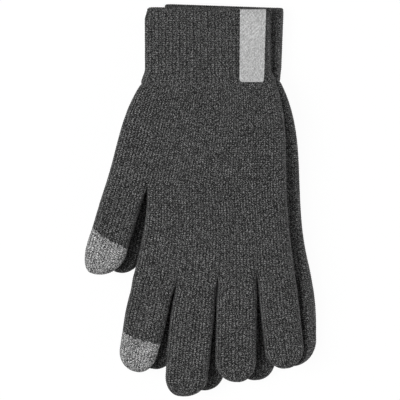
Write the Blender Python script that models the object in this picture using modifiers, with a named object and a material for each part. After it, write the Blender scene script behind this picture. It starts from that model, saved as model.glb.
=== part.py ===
# A pair of knitted touchscreen gloves, lying flat on a table with the left glove on top of the right one.
# X runs across the hand from the thumb to the little finger, Y from the fingertips to the cuff, and Z up from
# the table. Each glove is a ribbed cuff, a seamless hand and five digit tubes, all hollow, with the knitted
# joins left as fine gaps. The thumb and index finger end in separate caps of conductive yarn.

import math
from collections import namedtuple

import bmesh
import bpy
from mathutils import Vector
from mathutils.geometry import interpolate_bezier

MM = 0.001

# Fabric
WALL = 1.6 * MM  # one layer of knit
GLOVE_THICKNESS = 10.0 * MM  # outside, with the two layers of one glove lying apart
EDGE_REACH = 5.5 * MM  # how far in from the outline a side edge rounds over
JOIN_GAP = 0.3 * MM  # between pieces that are knitted or sewn together
STACK_GAP = 0.4 * MM  # between the upper and the lower glove

# Cuff
CUFF_WIDTH = 76.8 * MM  # at the mouth
CUFF_LENGTH = 45.6 * MM
CUFF_FLARE = 13.0 * MM  # length over which the cuff widens to the wrist
RIB_COUNT = 38  # ribs round the whole cuff
RIB_DEPTH = 0.6 * MM
RIB_PROFILE = ((0.0, 0.0), (0.48, 0.0), (0.58, RIB_DEPTH), (0.9, RIB_DEPTH))  # share of the pitch, and depth

# Hand, measured from the middle of the wrist seam
WRIST_WIDTH = 81.6 * MM
THUMB_CROTCH_SIDE = 38.2 * MM  # towards the thumb
THUMB_CROTCH_DOWN = 62.4 * MM  # towards the fingers
PALM_SIDE = 48.0 * MM  # outline on the little finger's side, level with the thumb crotch
KNUCKLE_SIDE = 44.7 * MM  # outer corner of the index finger's root
KNUCKLE_DOWN = 112.8 * MM
FINGER_GAP = 1.2 * MM  # between the roots of two fingers

# Headings of the hand's outline, in degrees above +X. Every side runs from the cuff to the fingers.
WRIST_LEFT_HEADING = -123
THUMB_LEFT_HEADING = -107.5
CROTCH_HEADING = -90
KNUCKLE_LEFT_HEADING = -103.4
PALM_RIGHT_HEADING = -88
OUTLINE_GRIP = 0.36  # handle of an outline curve, as a share of its length

# Digits, from root line to tip. A root width is measured along the root line, a width beyond the rounding.
THUMB_LENGTH = 56.0 * MM
THUMB_ROOT_WIDTH = 23.7 * MM
THUMB_WIDTH = 23.2 * MM
THUMB_CAP = 22.4 * MM  # length of the conductive tip
INDEX_LENGTH = 58.0 * MM
INDEX_ROOT_WIDTH = 26.0 * MM
INDEX_WIDTH = 23.0 * MM
INDEX_CAP = 21.0 * MM
MIDDLE_LENGTH = 70.7 * MM
MIDDLE_ROOT_WIDTH = 25.3 * MM
MIDDLE_WIDTH = 25.6 * MM
RING_LENGTH = 64.0 * MM
RING_ROOT_WIDTH = 23.3 * MM
RING_WIDTH = 24.6 * MM
LITTLE_LENGTH = 57.9 * MM
LITTLE_ROOT_WIDTH = 24.1 * MM
LITTLE_WIDTH = 23.6 * MM

# slope is the angle of the root line in degrees, positive where it rises towards the little finger, and
# cap_tilt is how far the join of the cap is off square
Digit = namedtuple("Digit", "length root_width width slope cap cap_tilt")
DIGITS = {
    "thumb": Digit(THUMB_LENGTH, THUMB_ROOT_WIDTH, THUMB_WIDTH, -10.0, THUMB_CAP, -9.0),
    "index": Digit(INDEX_LENGTH, INDEX_ROOT_WIDTH, INDEX_WIDTH, -14.0, INDEX_CAP, -1.0),
    "middle": Digit(MIDDLE_LENGTH, MIDDLE_ROOT_WIDTH, MIDDLE_WIDTH, 8.9, 0.0, 0.0),
    "ring": Digit(RING_LENGTH, RING_ROOT_WIDTH, RING_WIDTH, 3.0, 0.0, 0.0),
    "little": Digit(LITTLE_LENGTH, LITTLE_ROOT_WIDTH, LITTLE_WIDTH, 5.7, 0.0, 0.0),
}
FINGERS = ("index", "middle", "ring", "little")
ROUNDING_LENGTH = 14.0 * MM  # over which a square crotch side becomes a round digit
DOME_LENGTH = 13.0 * MM  # rounded end of a digit

# Label, a woven strip folded over the edge of the left cuff
LABEL_WIDTH = 15.6 * MM
LABEL_LENGTH = 44.4 * MM
LABEL_TUCK = 8.0 * MM  # length folded inside the cuff
LABEL_THICKNESS = 0.5 * MM
LABEL_INSET = 12.4 * MM  # from the cuff's side, by the little finger, to the middle of the label

# How the fabric of each glove lies. A digit leans from straight down, in degrees, positive towards the little
# finger, and may be pulled longer or wider. wrist_pull draws the wrist in on the little finger's side, and
# mouth_pull the cuff's mouth on the thumb's side. mouth_drop is how far the mouth slants.
DigitLie = namedtuple("DigitLie", "lean longer wider", defaults=(0.0, 0.0))
GloveLie = namedtuple("GloveLie", "digits wrist_heading little_heading wrist_pull mouth_pull mouth_drop")
UPPER_DIGITS = {
    "thumb": DigitLie(-17.5),
    "index": DigitLie(-13.4),
    "middle": DigitLie(-6.2),
    "ring": DigitLie(-1.1),
    "little": DigitLie(4.6),
}
LOWER_DIGITS = {
    "thumb": DigitLie(-10.6),
    "index": DigitLie(-7.8),
    "middle": DigitLie(-2.8, longer=-1.5 * MM),
    "ring": DigitLie(4.6, longer=1.8 * MM),
    "little": DigitLie(6.6, wider=1.1 * MM),
}
UPPER = GloveLie(UPPER_DIGITS, -72, -81.4, 0.0, 0.0, 0.0)
LOWER = GloveLie(LOWER_DIGITS, -63, -76, 4.0 * MM, 6.5 * MM, 2.6 * MM)
LOWER_ASIDE = 6.6 * MM  # how far the lower glove lies out, towards the little finger
LOWER_BACK = 2.1 * MM  # and towards the cuff

# Facets
SIDE_STEPS = 6  # round one side edge, from top to bottom
HAND_STEPS = 5  # along each of the hand's two stretches
BODY_STEPS = 6  # along a digit, between its root and its dome
DOME_STEPS = 6
DOME_LAST_ANGLE = math.radians(83)
LEAST_STEP = 1.0 * MM  # between two rings of a digit
EDGE_STEPS = 10  # along each flat side of the cuff's edge

HALF = GLOVE_THICKNESS / 2
EDGE_BEAD = WALL + RIB_DEPTH  # diameter of the overlocked edge
UP = Vector((0, 0, 1))


# Scene and materials


def clear_scene():
    for old in list(bpy.data.objects):
        bpy.data.objects.remove(old)


def new_collection(name):
    collection = bpy.data.collections.new(name)
    bpy.context.scene.collection.children.link(collection)
    return collection


def make_material(name, colour, roughness):
    material = bpy.data.materials.new(name)
    material.use_nodes = True
    shader = material.node_tree.nodes["Principled BSDF"]
    shader.inputs["Base Color"].default_value = (*colour, 1)
    shader.inputs["Roughness"].default_value = roughness
    shader.inputs["Metallic"].default_value = 0.0
    return material


def add_empty(name, parent, location):
    empty = bpy.data.objects.new(name, None)
    empty.parent = parent
    empty.location = location
    PARTS.objects.link(empty)
    return empty


def add_part(name, bm, material, parent, wall, offset=-1):
    """Makes a part of a wall's thickness from a surface in the glove's frame, and puts it on its parent."""
    mesh = bpy.data.meshes.new(name)
    bm.to_mesh(mesh)
    bm.free()
    mesh.shade_smooth()
    mesh.set_sharp_from_angle(angle=math.radians(50))
    mesh.materials.append(material)
    part = bpy.data.objects.new(name, mesh)
    PARTS.objects.link(part)
    attach(part, parent)
    shell = part.modifiers.new("thickness", "SOLIDIFY")
    shell.thickness = wall
    shell.offset = offset
    shell.use_even_offset = True


def attach(part, parent):
    """Parents a part to one of the glove's empties. Only a digit's pivot is off the glove's frame."""
    part.parent = parent
    if "pivot" in parent:
        part.location = -Vector(parent["pivot"])


# Flat tubes: a knitted tube lying down, flat above and below, with rounded side edges


def side_profile(rounding, half, reach):
    """Pairs of inset from the outline and height, down one side edge. A rounding of 0 leaves it upright."""
    profile = []
    for step in range(SIDE_STEPS + 1):
        turn = math.pi * (0.5 - step / SIDE_STEPS)
        profile.append((rounding * reach * (1 - math.cos(turn)), half * math.sin(turn)))
    return profile


def flat_ring(left, right, middles, round_left=1.0, round_right=1.0, half=HALF, reach=EDGE_REACH):
    """One ring of a flat tube: along the top, down the right side, back along the bottom, up the left."""
    from_left = (middles[0] - left).normalized()
    from_right = (middles[-1] - right).normalized()
    left_side = [
        (left + from_left * inset).to_3d() + UP * height
        for inset, height in side_profile(round_left, half, reach)
    ]
    right_side = [
        (right + from_right * inset).to_3d() + UP * height
        for inset, height in side_profile(round_right, half, reach)
    ]
    top = [point.to_3d() + UP * half for point in middles]
    bottom = [point.to_3d() - UP * half for point in reversed(middles)]
    return top + right_side + bottom + left_side[::-1]


def add_ring(bm, points):
    return [bm.verts.new(point) for point in points]


def skin(bm, near, far):
    """Faces between two closed rings, facing out where far lies towards the fingertips."""
    for i, vert in enumerate(near):
        following = (i + 1) % len(near)
        bm.faces.new((vert, far[i], far[following], near[following]))


def smooth_step(share):
    share = min(max(share, 0.0), 1.0)
    return share * share * (3 - 2 * share)


def heading(angle):
    """Unit vector at an angle in degrees above +X."""
    return Vector((math.cos(math.radians(angle)), math.sin(math.radians(angle))))


# Plan of the hand


Root = namedtuple("Root", "left right")


def pulled_digit(name, lie):
    """A digit at the length and width it has in a glove that lies as given."""
    digit, pull = DIGITS[name], lie.digits[name]
    return digit._replace(
        length=digit.length + pull.longer,
        root_width=digit.root_width + pull.wider,
        width=digit.width + pull.wider,
    )


def plan_roots(lie):
    """The root line of each digit, from the thumb's side to the little finger's side."""
    thumb_crotch = Vector((-THUMB_CROTCH_SIDE, -THUMB_CROTCH_DOWN))
    thumb = pulled_digit("thumb", lie)
    roots = {"thumb": Root(thumb_crotch - heading(thumb.slope) * thumb.root_width, thumb_crotch)}
    corner = Vector((-KNUCKLE_SIDE, -KNUCKLE_DOWN))
    for name in FINGERS:
        digit = pulled_digit(name, lie)
        following = corner + heading(digit.slope) * digit.root_width
        roots[name] = Root(corner, following)
        corner = following
    return roots


def outline_curve(start, start_angle, end, end_angle):
    """Points of a side of the hand that leaves start and reaches end at the given headings."""
    grip = (end - start).length * OUTLINE_GRIP
    return interpolate_bezier(
        start, start + heading(start_angle) * grip, end - heading(end_angle) * grip, end, HAND_STEPS + 1
    )


def finger_line(roots):
    """Columns of the hand at its finger end, without its two outer corners."""
    half_gap = FINGER_GAP / 2
    columns = []
    for name in FINGERS:
        left, right = roots[name]
        along = heading(DIGITS[name].slope)
        if name != FINGERS[0]:
            columns.append(left + along * half_gap)
        columns.append((left + right) / 2)
        if name != FINGERS[-1]:
            columns.append(right - along * half_gap)
    return columns


# Pieces of one glove


def hand_surface(roots, lie):
    """The hand from the wrist seam to the roots of the digits, open at the wrist and at every root."""
    wrist_left = Vector((-WRIST_WIDTH / 2, 0))
    wrist_right = Vector((WRIST_WIDTH / 2 - lie.wrist_pull, 0))
    thumb_left, crotch = roots["thumb"]
    palm_right = Vector((PALM_SIDE, crotch.y))
    knuckle_left, knuckle_right = roots["index"].left, roots["little"].right

    columns = finger_line(roots)
    shares = [(point - knuckle_left).length / (knuckle_right - knuckle_left).length for point in columns]

    left_edge = outline_curve(wrist_left, WRIST_LEFT_HEADING, thumb_left, THUMB_LEFT_HEADING)
    right_edge = outline_curve(wrist_right, lie.wrist_heading, palm_right, PALM_RIGHT_HEADING)
    crotch_start = wrist_left.lerp(wrist_right, thumb_crotch_share())

    bm = bmesh.new()
    rings = []
    for step in range(HAND_STEPS + 1):
        left, right = left_edge[step], right_edge[step]
        middle = crotch_start.lerp(crotch, step / HAND_STEPS)
        palm = [middle.lerp(right, share) for share in shares]
        rings.append(add_ring(bm, flat_ring(left, right, [(left + middle) / 2, middle, *palm])))
    for near, far in zip(rings, rings[1:]):
        skin(bm, near, far)

    # Past the thumb only the palm goes on. Its first ring shares the wrist stretch's last one, and closes
    # the crotch with an upright side.
    last = rings[-1]
    count = len(columns)
    side = SIDE_STEPS + 1
    palm_top, right_side = last[2 : 2 + count], last[2 + count : 2 + count + side]
    palm_bottom = last[2 + count + side : 2 + 2 * count + side]
    crotch_top, crotch_bottom = last[1], last[2 + 2 * count + side]
    upright = [crotch.to_3d() + UP * height for _, height in side_profile(0, HALF, EDGE_REACH)]
    web = add_ring(bm, upright[-2:0:-1])
    near = [*palm_top, *right_side, *palm_bottom, crotch_bottom, *web, crotch_top]

    left_edge = outline_curve(crotch, CROTCH_HEADING, knuckle_left, KNUCKLE_LEFT_HEADING)
    right_edge = outline_curve(palm_right, PALM_RIGHT_HEADING, knuckle_right, lie.little_heading)
    for step in range(1, HAND_STEPS + 1):
        left, right = left_edge[step], right_edge[step]
        bend = smooth_step(step / HAND_STEPS)
        palm = [
            left.lerp(right, share).lerp(column, bend) if step < HAND_STEPS else column
            for share, column in zip(shares, columns_at(columns, knuckle_left, knuckle_right, left, right))
        ]
        rounding = smooth_step(step * 2 / HAND_STEPS)
        far = add_ring(bm, flat_ring(left, right, palm, round_left=rounding))
        skin(bm, near, far)
        near = far
    close_finger_crotches(bm, near, count)
    return bm


def thumb_crotch_share():
    """Where the line above the thumb crotch starts, as a share of the wrist's width."""
    return THUMB_ROOT_WIDTH / (THUMB_ROOT_WIDTH + PALM_SIDE + THUMB_CROTCH_SIDE)


def columns_at(columns, end_left, end_right, left, right):
    """The finger line's columns carried to another stretch of the hand, keeping their bow."""
    carried = []
    for column in columns:
        share = (column - end_left).length / (end_right - end_left).length
        carried.append(left.lerp(right, share) + column - end_left.lerp(end_right, share))
    return carried


def close_finger_crotches(bm, ring, count):
    """The narrow webs between the finger openings, each from the top of the last ring to its bottom."""
    bottom_start = count + SIDE_STEPS + 1
    bottom = ring[bottom_start : bottom_start + count][::-1]
    for i in range(1, count - 1, 3):
        bm.faces.new((ring[i], bottom[i], bottom[i + 1], ring[i + 1]))


def digit_stations(digit):
    """Distances from the root of a digit's rings, along its straight body first and then its dome."""
    straight = digit.length - DOME_LENGTH
    stations = [straight * step / BODY_STEPS for step in range(BODY_STEPS)]
    for step in range(DOME_STEPS):
        angle = DOME_LAST_ANGLE * step / (DOME_STEPS - 1)
        stations.append(straight + DOME_LENGTH * math.sin(angle) / math.sin(DOME_LAST_ANGLE))
    return stations


def dome_share(digit, distance):
    """How much of its width and thickness a digit has left at a distance from its root."""
    into_dome = max(0.0, (distance - digit.length + DOME_LENGTH) / DOME_LENGTH)
    return math.sqrt(1 - (into_dome * math.sin(DOME_LAST_ANGLE)) ** 2)


def digit_ring(name, root, lie, distance):
    """One ring of a digit at a distance from its root line."""
    digit = pulled_digit(name, lie)
    lean = lie.digits[name].lean
    axis = heading(lean - 90)
    left_gap = 0 if name in ("thumb", "index") else FINGER_GAP / 2
    right_gap = 0 if name == "little" else FINGER_GAP / 2
    along = heading(digit.slope)
    left, right = root.left + along * left_gap, root.right - along * right_gap
    root_width = (right - left).length
    centre = (left + right) / 2 + axis * distance

    cap_start = digit.length - (digit.cap or digit.length / 2)
    to_cap = smooth_step(distance / cap_start)
    to_tip = smooth_step((distance - cap_start) / (digit.length - DOME_LENGTH - cap_start))
    joined = digit.slope + (lean + digit.cap_tilt - digit.slope) * to_cap
    across = heading(joined + (lean - joined) * to_tip)

    rounding = smooth_step(distance / ROUNDING_LENGTH)
    share = dome_share(digit, distance)
    width = share * (root_width + (digit.width - root_width) * rounding)
    return flat_ring(
        centre - across * width / 2,
        centre + across * width / 2,
        [centre],
        round_left=1.0 if name in ("thumb", "index") else rounding,
        round_right=1.0 if name == "little" else rounding,
        half=HALF * share,
        reach=EDGE_REACH * share,
    )


def digit_surface(name, root, lie, start, end):
    """A digit between two distances from its root, closed where it reaches the fingertip."""
    digit = pulled_digit(name, lie)
    inner = [s for s in digit_stations(digit) if start + LEAST_STEP < s < end - LEAST_STEP]
    bm = bmesh.new()
    rings = [add_ring(bm, digit_ring(name, root, lie, s)) for s in [start, *inner, end]]
    for near, far in zip(rings, rings[1:]):
        skin(bm, near, far)
    if end >= digit.length:
        bm.faces.new(rings[-1][::-1])
    return bm


def cuff_sides(distance, lie):
    """The two ends of the cuff's flat ring at a distance from the wrist seam."""
    flare = smooth_step(distance / CUFF_FLARE)
    half_wrist, half_mouth = WRIST_WIDTH / 2, CUFF_WIDTH / 2
    up_cuff = distance / CUFF_LENGTH
    left = -half_wrist + (half_wrist - half_mouth) * flare + lie.mouth_pull * up_cuff
    right = half_wrist - lie.wrist_pull + (half_mouth - half_wrist + lie.wrist_pull) * flare
    return Vector((left, distance)), Vector((right, distance - lie.mouth_drop * up_cuff))


def ribbed_ring(distance, lie):
    """A ring of the cuff with a crest and a valley for each rib."""
    left, right = cuff_sides(distance, lie)
    loop = flat_ring(left, right, [(left + right) / 2])
    around = [(b - a).length for a, b in zip(loop, loop[1:] + loop[:1])]
    rib = sum(around) / RIB_COUNT
    points = []
    for number in range(RIB_COUNT):
        for share, depth in RIB_PROFILE:
            points.append(loop_point(loop, around, (number + share) * rib, depth))
    return points


def loop_point(loop, around, travel, depth):
    """The point at a distance along a closed loop, moved in by a depth."""
    for i, length in enumerate(around):
        if travel <= length:
            break
        travel -= length
    start, end = loop[i], loop[(i + 1) % len(loop)]
    along = (end - start).normalized()
    outward = along.cross(Vector((0, 1, 0)))
    return start + along * travel - outward * depth


def cuff_surface(lie):
    bm = bmesh.new()
    mouth = CUFF_LENGTH - EDGE_BEAD - JOIN_GAP
    distances = [mouth, CUFF_FLARE, CUFF_FLARE / 2, JOIN_GAP]
    rings = [add_ring(bm, ribbed_ring(distance, lie)) for distance in distances]
    for near, far in zip(rings, rings[1:]):
        skin(bm, near, far)
    return bm


def add_cuff_edge(name, material, parent, lie):
    """The overlocked edge of the mouth: a bead of thread right round it."""
    centre = HALF - EDGE_BEAD / 2
    reach = EDGE_REACH - EDGE_BEAD / 2
    left, right = cuff_sides(CUFF_LENGTH - EDGE_BEAD / 2, lie)
    along = (right - left).normalized()
    left, right = left + along * EDGE_REACH, right - along * EDGE_REACH
    points = []
    for start, end, side in ((left, right, 1), (right, left, -1)):
        for step in range(EDGE_STEPS):
            points.append(start.lerp(end, step / EDGE_STEPS).to_3d() + UP * side * centre)
        for step in range(SIDE_STEPS):
            turn = math.pi * (0.5 - step / SIDE_STEPS)
            out = end + along * side * reach * math.cos(turn)
            points.append(out.to_3d() + UP * side * centre * math.sin(turn))
    curve = bpy.data.curves.new(name, "CURVE")
    curve.dimensions = "3D"
    curve.bevel_depth = EDGE_BEAD / 2
    curve.bevel_resolution = 2
    spline = curve.splines.new("POLY")
    spline.points.add(len(points) - 1)
    for point, place in zip(spline.points, points):
        point.co = (*place, 1)
    spline.use_cyclic_u = True
    curve.materials.append(material)
    edge = bpy.data.objects.new(name, curve)
    PARTS.objects.link(edge)
    attach(edge, parent)


def label_surface():
    """The label's middle surface: its tuck in the cuff, the turn round the edge, then the visible part."""
    turn_radius = EDGE_BEAD / 2 + JOIN_GAP + LABEL_THICKNESS / 2
    turn_height = HALF - EDGE_BEAD / 2
    turn_place = CUFF_LENGTH - EDGE_BEAD / 2
    path = [(CUFF_LENGTH - LABEL_TUCK, turn_height - turn_radius)]
    for step in range(SIDE_STEPS + 1):
        turn = math.pi * (step / SIDE_STEPS - 0.5)
        path.append((turn_place + turn_radius * math.cos(turn), turn_height + turn_radius * math.sin(turn)))
    path.append((CUFF_LENGTH - LABEL_LENGTH, turn_height + turn_radius))
    middle = CUFF_WIDTH / 2 - LABEL_INSET
    bm = bmesh.new()
    rails = []
    for side in (middle - LABEL_WIDTH / 2, middle + LABEL_WIDTH / 2):
        rails.append(add_ring(bm, [Vector((side, place, height)) for place, height in path]))
    for i in range(len(path) - 1):
        bm.faces.new((rails[0][i], rails[1][i], rails[1][i + 1], rails[0][i + 1]))
    return bm


def add_digit(side, name, root, lie, pivot, glove, knit, conductive):
    """One digit on its pivot, with its conductive cap where it has one."""
    digit = pulled_digit(name, lie)
    hinge = add_empty(f"{side}_{name}_pivot", glove, pivot)
    hinge["pivot"] = list(pivot)
    body_end = digit.length - digit.cap if digit.cap else digit.length
    body = digit_surface(name, root, lie, JOIN_GAP, body_end)
    add_part(f"{side}_{name}", body, knit, hinge, WALL)
    if digit.cap:
        cap = digit_surface(name, root, lie, body_end + JOIN_GAP, digit.length)
        add_part(f"{side}_{name}_tip", cap, conductive, hinge, WALL)


def fold_pivot(name, root):
    """A point of the crease an upper digit folds up about, on top of the glove. The fingers' creases are all
    square to the hand, at the end of the root line nearer the cuff, so that folded fingers keep clear of each
    other."""
    middle = (root.left + root.right) / 2
    if name != "thumb":
        middle.y = max(root.left.y, root.right.y)
    return middle.to_3d() + UP * HALF


def spread_pivot(name, root):
    """The corner of a lower digit's root that it swings about, which is on the side it spreads to."""
    return (root.right if name in ("ring", "little") else root.left).to_3d()


def add_glove(side, parent, place, lie, knit, conductive, thread):
    """One whole glove. The upper one folds its digits up about their top edges, the lower spreads them."""
    glove = add_empty(f"{side}_glove", parent, place)
    roots = plan_roots(lie)
    add_part(f"{side}_hand", hand_surface(roots, lie), knit, glove, WALL)
    add_part(f"{side}_cuff", cuff_surface(lie), knit, glove, WALL)
    add_cuff_edge(f"{side}_cuff_edge", thread, glove, lie)
    for name, root in roots.items():
        pivot = fold_pivot(name, root) if lie is UPPER else spread_pivot(name, root)
        add_digit(side, name, root, lie, pivot, glove, knit, conductive)
    return glove


def centre_on_table(root):
    """Puts the middle of the pair's outline over the origin."""
    bpy.context.view_layer.update()
    graph = bpy.context.evaluated_depsgraph_get()
    points = []
    for part in PARTS.objects:
        if part.type != "EMPTY":
            shown = part.evaluated_get(graph)
            points += [shown.matrix_world @ vertex.co for vertex in shown.to_mesh().vertices]
            shown.to_mesh_clear()
    for axis in (0, 1):
        values = [point[axis] for point in points]
        root.location[axis] = -(min(values) + max(values)) / 2


clear_scene()
PARTS = new_collection("touchscreen_gloves")
charcoal_knit = make_material("charcoal_knit", (0.058, 0.058, 0.059), 0.95)
charcoal_conductive = make_material("charcoal_conductive_knit", (0.055, 0.055, 0.056), 0.9)
grey_conductive = make_material("grey_conductive_knit", (0.21, 0.21, 0.21), 0.85)
edge_thread = make_material("edge_thread", (0.05, 0.05, 0.051), 0.9)
label_weave = make_material("label_weave", (0.46, 0.46, 0.46), 0.6)

pair = add_empty("glove_pair", None, (0, 0, 0))
lower_place = (LOWER_ASIDE, LOWER_BACK, HALF)
upper_place = (0, 0, HALF + GLOVE_THICKNESS + STACK_GAP)
add_glove("right", pair, lower_place, LOWER, charcoal_knit, charcoal_conductive, edge_thread)
left_glove = add_glove("left", pair, upper_place, UPPER, charcoal_knit, grey_conductive, edge_thread)
add_part("cuff_label", label_surface(), label_weave, left_glove, LABEL_THICKNESS, offset=0)
centre_on_table(pair)
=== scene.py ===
# A pair of knitted touchscreen gloves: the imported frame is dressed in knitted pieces, a braided cuff edge and
# a woven label, then lit and seen from straight above.

import math

import bpy
import numpy as np
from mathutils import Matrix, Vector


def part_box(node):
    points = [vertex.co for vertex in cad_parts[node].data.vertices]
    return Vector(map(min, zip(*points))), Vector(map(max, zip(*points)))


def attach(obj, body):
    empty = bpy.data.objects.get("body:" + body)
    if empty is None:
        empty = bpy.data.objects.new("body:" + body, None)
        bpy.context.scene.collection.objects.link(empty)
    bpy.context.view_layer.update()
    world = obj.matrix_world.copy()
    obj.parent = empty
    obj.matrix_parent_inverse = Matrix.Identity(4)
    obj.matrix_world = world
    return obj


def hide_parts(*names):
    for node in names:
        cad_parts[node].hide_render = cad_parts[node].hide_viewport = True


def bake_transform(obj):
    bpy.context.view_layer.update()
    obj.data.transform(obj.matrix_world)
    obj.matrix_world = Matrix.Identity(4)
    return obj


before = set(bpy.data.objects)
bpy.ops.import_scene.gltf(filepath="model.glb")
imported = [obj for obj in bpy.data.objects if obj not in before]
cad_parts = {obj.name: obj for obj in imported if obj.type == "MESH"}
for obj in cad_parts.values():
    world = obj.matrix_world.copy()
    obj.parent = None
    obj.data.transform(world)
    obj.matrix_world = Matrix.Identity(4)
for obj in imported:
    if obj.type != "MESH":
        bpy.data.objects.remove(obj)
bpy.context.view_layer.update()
print("frame loaded:", len(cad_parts), "nodes")

mm = 0.001


# Camera, floor and light

picture = {
    "lens": 220,  # long, so the gloves look flat
    "sensor": 36,
    "across": 240 * mm,  # width of the picture at the level below
    "level": 16 * mm,
    "aside": -0.6 * mm,
    "back": 0.3 * mm,
}
studio = {
    "softboxes": {  # place and power of each
        "leftSoftbox": ((-0.95, 0.0, 0.95), 14.3),
        "rightSoftbox": ((1.25, 0.0, 0.45), 6.8),
    },
    "softboxSize": 0.8,
    "fill": 0.21,  # strength of the white surroundings
    "floorSize": 6,
    "floorGlow": 0.955,  # what the camera sees of the floor without any light on it
    "floorTone": 0.06,
    "floorBounce": 0.85,
}


def addNode(tree, kind, **values):
    node = tree.nodes.new(kind)
    for key, value in values.items():
        setattr(node, key, value)
    return node


def makeCamera():
    camera = bpy.data.objects.new("camera", bpy.data.cameras.new("camera"))
    camera.data.lens = picture["lens"]
    camera.data.sensor_width = picture["sensor"]
    distance = picture["across"] * picture["lens"] / picture["sensor"]
    camera.location = (picture["aside"], picture["back"], picture["level"] + distance)
    bpy.context.scene.collection.objects.link(camera)
    bpy.context.scene.camera = camera


def seenDirectly(tree):
    # 1 for rays from the camera, and for what gloss or glass would show
    path = addNode(tree, "ShaderNodeLightPath")
    either = addNode(tree, "ShaderNodeMath", operation="MAXIMUM")
    anyOf = addNode(tree, "ShaderNodeMath", operation="MAXIMUM")
    tree.links.new(path.outputs["Is Camera Ray"], either.inputs[0])
    tree.links.new(path.outputs["Is Glossy Ray"], either.inputs[1])
    tree.links.new(either.outputs[0], anyOf.inputs[0])
    tree.links.new(path.outputs["Is Transmission Ray"], anyOf.inputs[1])
    return anyOf.outputs[0]


def makeFloor():
    half = studio["floorSize"] / 2
    mesh = bpy.data.meshes.new("floor")
    corners = [(-half, -half, 0), (half, -half, 0), (half, half, 0), (-half, half, 0)]
    mesh.from_pydata(corners, [], [(0, 1, 2, 3)])
    floor = bpy.data.objects.new("floor", mesh)
    bpy.context.scene.collection.objects.link(floor)
    material = bpy.data.materials.new("whitePaper")
    material.use_nodes = True
    tree = material.node_tree
    tree.nodes.clear()
    glow = addNode(tree, "ShaderNodeEmission")
    glow.inputs["Strength"].default_value = studio["floorGlow"]
    seen = addNode(tree, "ShaderNodeBsdfDiffuse")
    seen.inputs["Color"].default_value = (*[studio["floorTone"]] * 3, 1)
    bounce = addNode(tree, "ShaderNodeBsdfDiffuse")
    bounce.inputs["Color"].default_value = (*[studio["floorBounce"]] * 3, 1)
    both = addNode(tree, "ShaderNodeAddShader")
    mix = addNode(tree, "ShaderNodeMixShader")
    output = addNode(tree, "ShaderNodeOutputMaterial")
    tree.links.new(glow.outputs[0], both.inputs[0])
    tree.links.new(seen.outputs[0], both.inputs[1])
    tree.links.new(seenDirectly(tree), mix.inputs[0])
    tree.links.new(bounce.outputs[0], mix.inputs[1])
    tree.links.new(both.outputs[0], mix.inputs[2])
    tree.links.new(mix.outputs[0], output.inputs["Surface"])
    mesh.materials.append(material)


def makeLight():
    for name, (place, power) in studio["softboxes"].items():
        lamp = bpy.data.lights.new(name, "AREA")
        lamp.shape = "SQUARE"
        lamp.size = studio["softboxSize"]
        lamp.energy = power
        softbox = bpy.data.objects.new(name, lamp)
        softbox.location = place
        softbox.rotation_euler = (-softbox.location).to_track_quat("-Z", "Y").to_euler()
        bpy.context.scene.collection.objects.link(softbox)
    world = bpy.data.worlds.new("surroundings")
    world.use_nodes = True
    tree = world.node_tree
    tree.nodes.clear()
    fill = addNode(tree, "ShaderNodeBackground")
    fill.inputs["Color"].default_value = (1, 1, 1, 1)
    strength = addNode(tree, "ShaderNodeMapRange")
    strength.inputs["To Min"].default_value = studio["fill"]
    strength.inputs["To Max"].default_value = 1.0
    output = addNode(tree, "ShaderNodeOutputWorld")
    tree.links.new(seenDirectly(tree), strength.inputs["Value"])
    tree.links.new(strength.outputs["Result"], fill.inputs["Strength"])
    tree.links.new(fill.outputs[0], output.inputs["Surface"])
    bpy.context.scene.world = world


bpy.context.scene.view_settings.view_transform = "Standard"
makeCamera()
makeFloor()
makeLight()
print("camera, floor and light set")


# Finishes

heather = {  # sizes in metres; the tones are those of the dark and light fibres in the yarn
    "fleckWidth": 0.3 * mm,
    "fleckLength": 0.34 * mm,
    "surround": 0.6 * mm,  # how far from a light fleck the yarn looks darker
    "dimAcross": 0.7,  # and how much, across and along the yarn
    "dimAlong": 0.5,
    "fibreWidth": 0.12 * mm,
    "fibreLength": 0.6 * mm,
    "cloudSize": 14 * mm,
    "valley": 0.1,  # painted shade on yarn in a valley of the knit, and painted light on its crests
    "crest": 1.3,
}
# clear: how much of the stitch's painted shade and light each yarn shows
yarns = {
    "charcoalKnit": {
        "dark": 0.009, "light": 0.325, "bias": 4.3, "clear": 1.0, "roughness": 0.92, "sheen": 0.15
    },
    "charcoalConductiveKnit": {
        "dark": 0.009, "light": 0.315, "bias": 4.3, "clear": 1.0, "roughness": 0.85, "sheen": 0.15
    },
    "greyConductiveKnit": {
        "dark": 0.04, "light": 0.86, "bias": 2.2, "clear": 0.65, "roughness": 0.8, "sheen": 0.05,
        "from": "charcoalKnit",
    },
    "edgeYarn": {
        "dark": 0.010, "light": 0.24, "bias": 3.9, "clear": 0.0, "roughness": 0.92, "sheen": 0.15
    },
}


def mathsIn(tree):
    # one maths node from numbers and outputs of other nodes
    def maths(operation, *values):
        node = addNode(tree, "ShaderNodeMath", operation=operation)
        for socket, value in zip(node.inputs, values):
            if isinstance(value, (int, float)):
                socket.default_value = value
            else:
                tree.links.new(value, socket)
        return node.outputs[0]

    return maths


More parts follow.
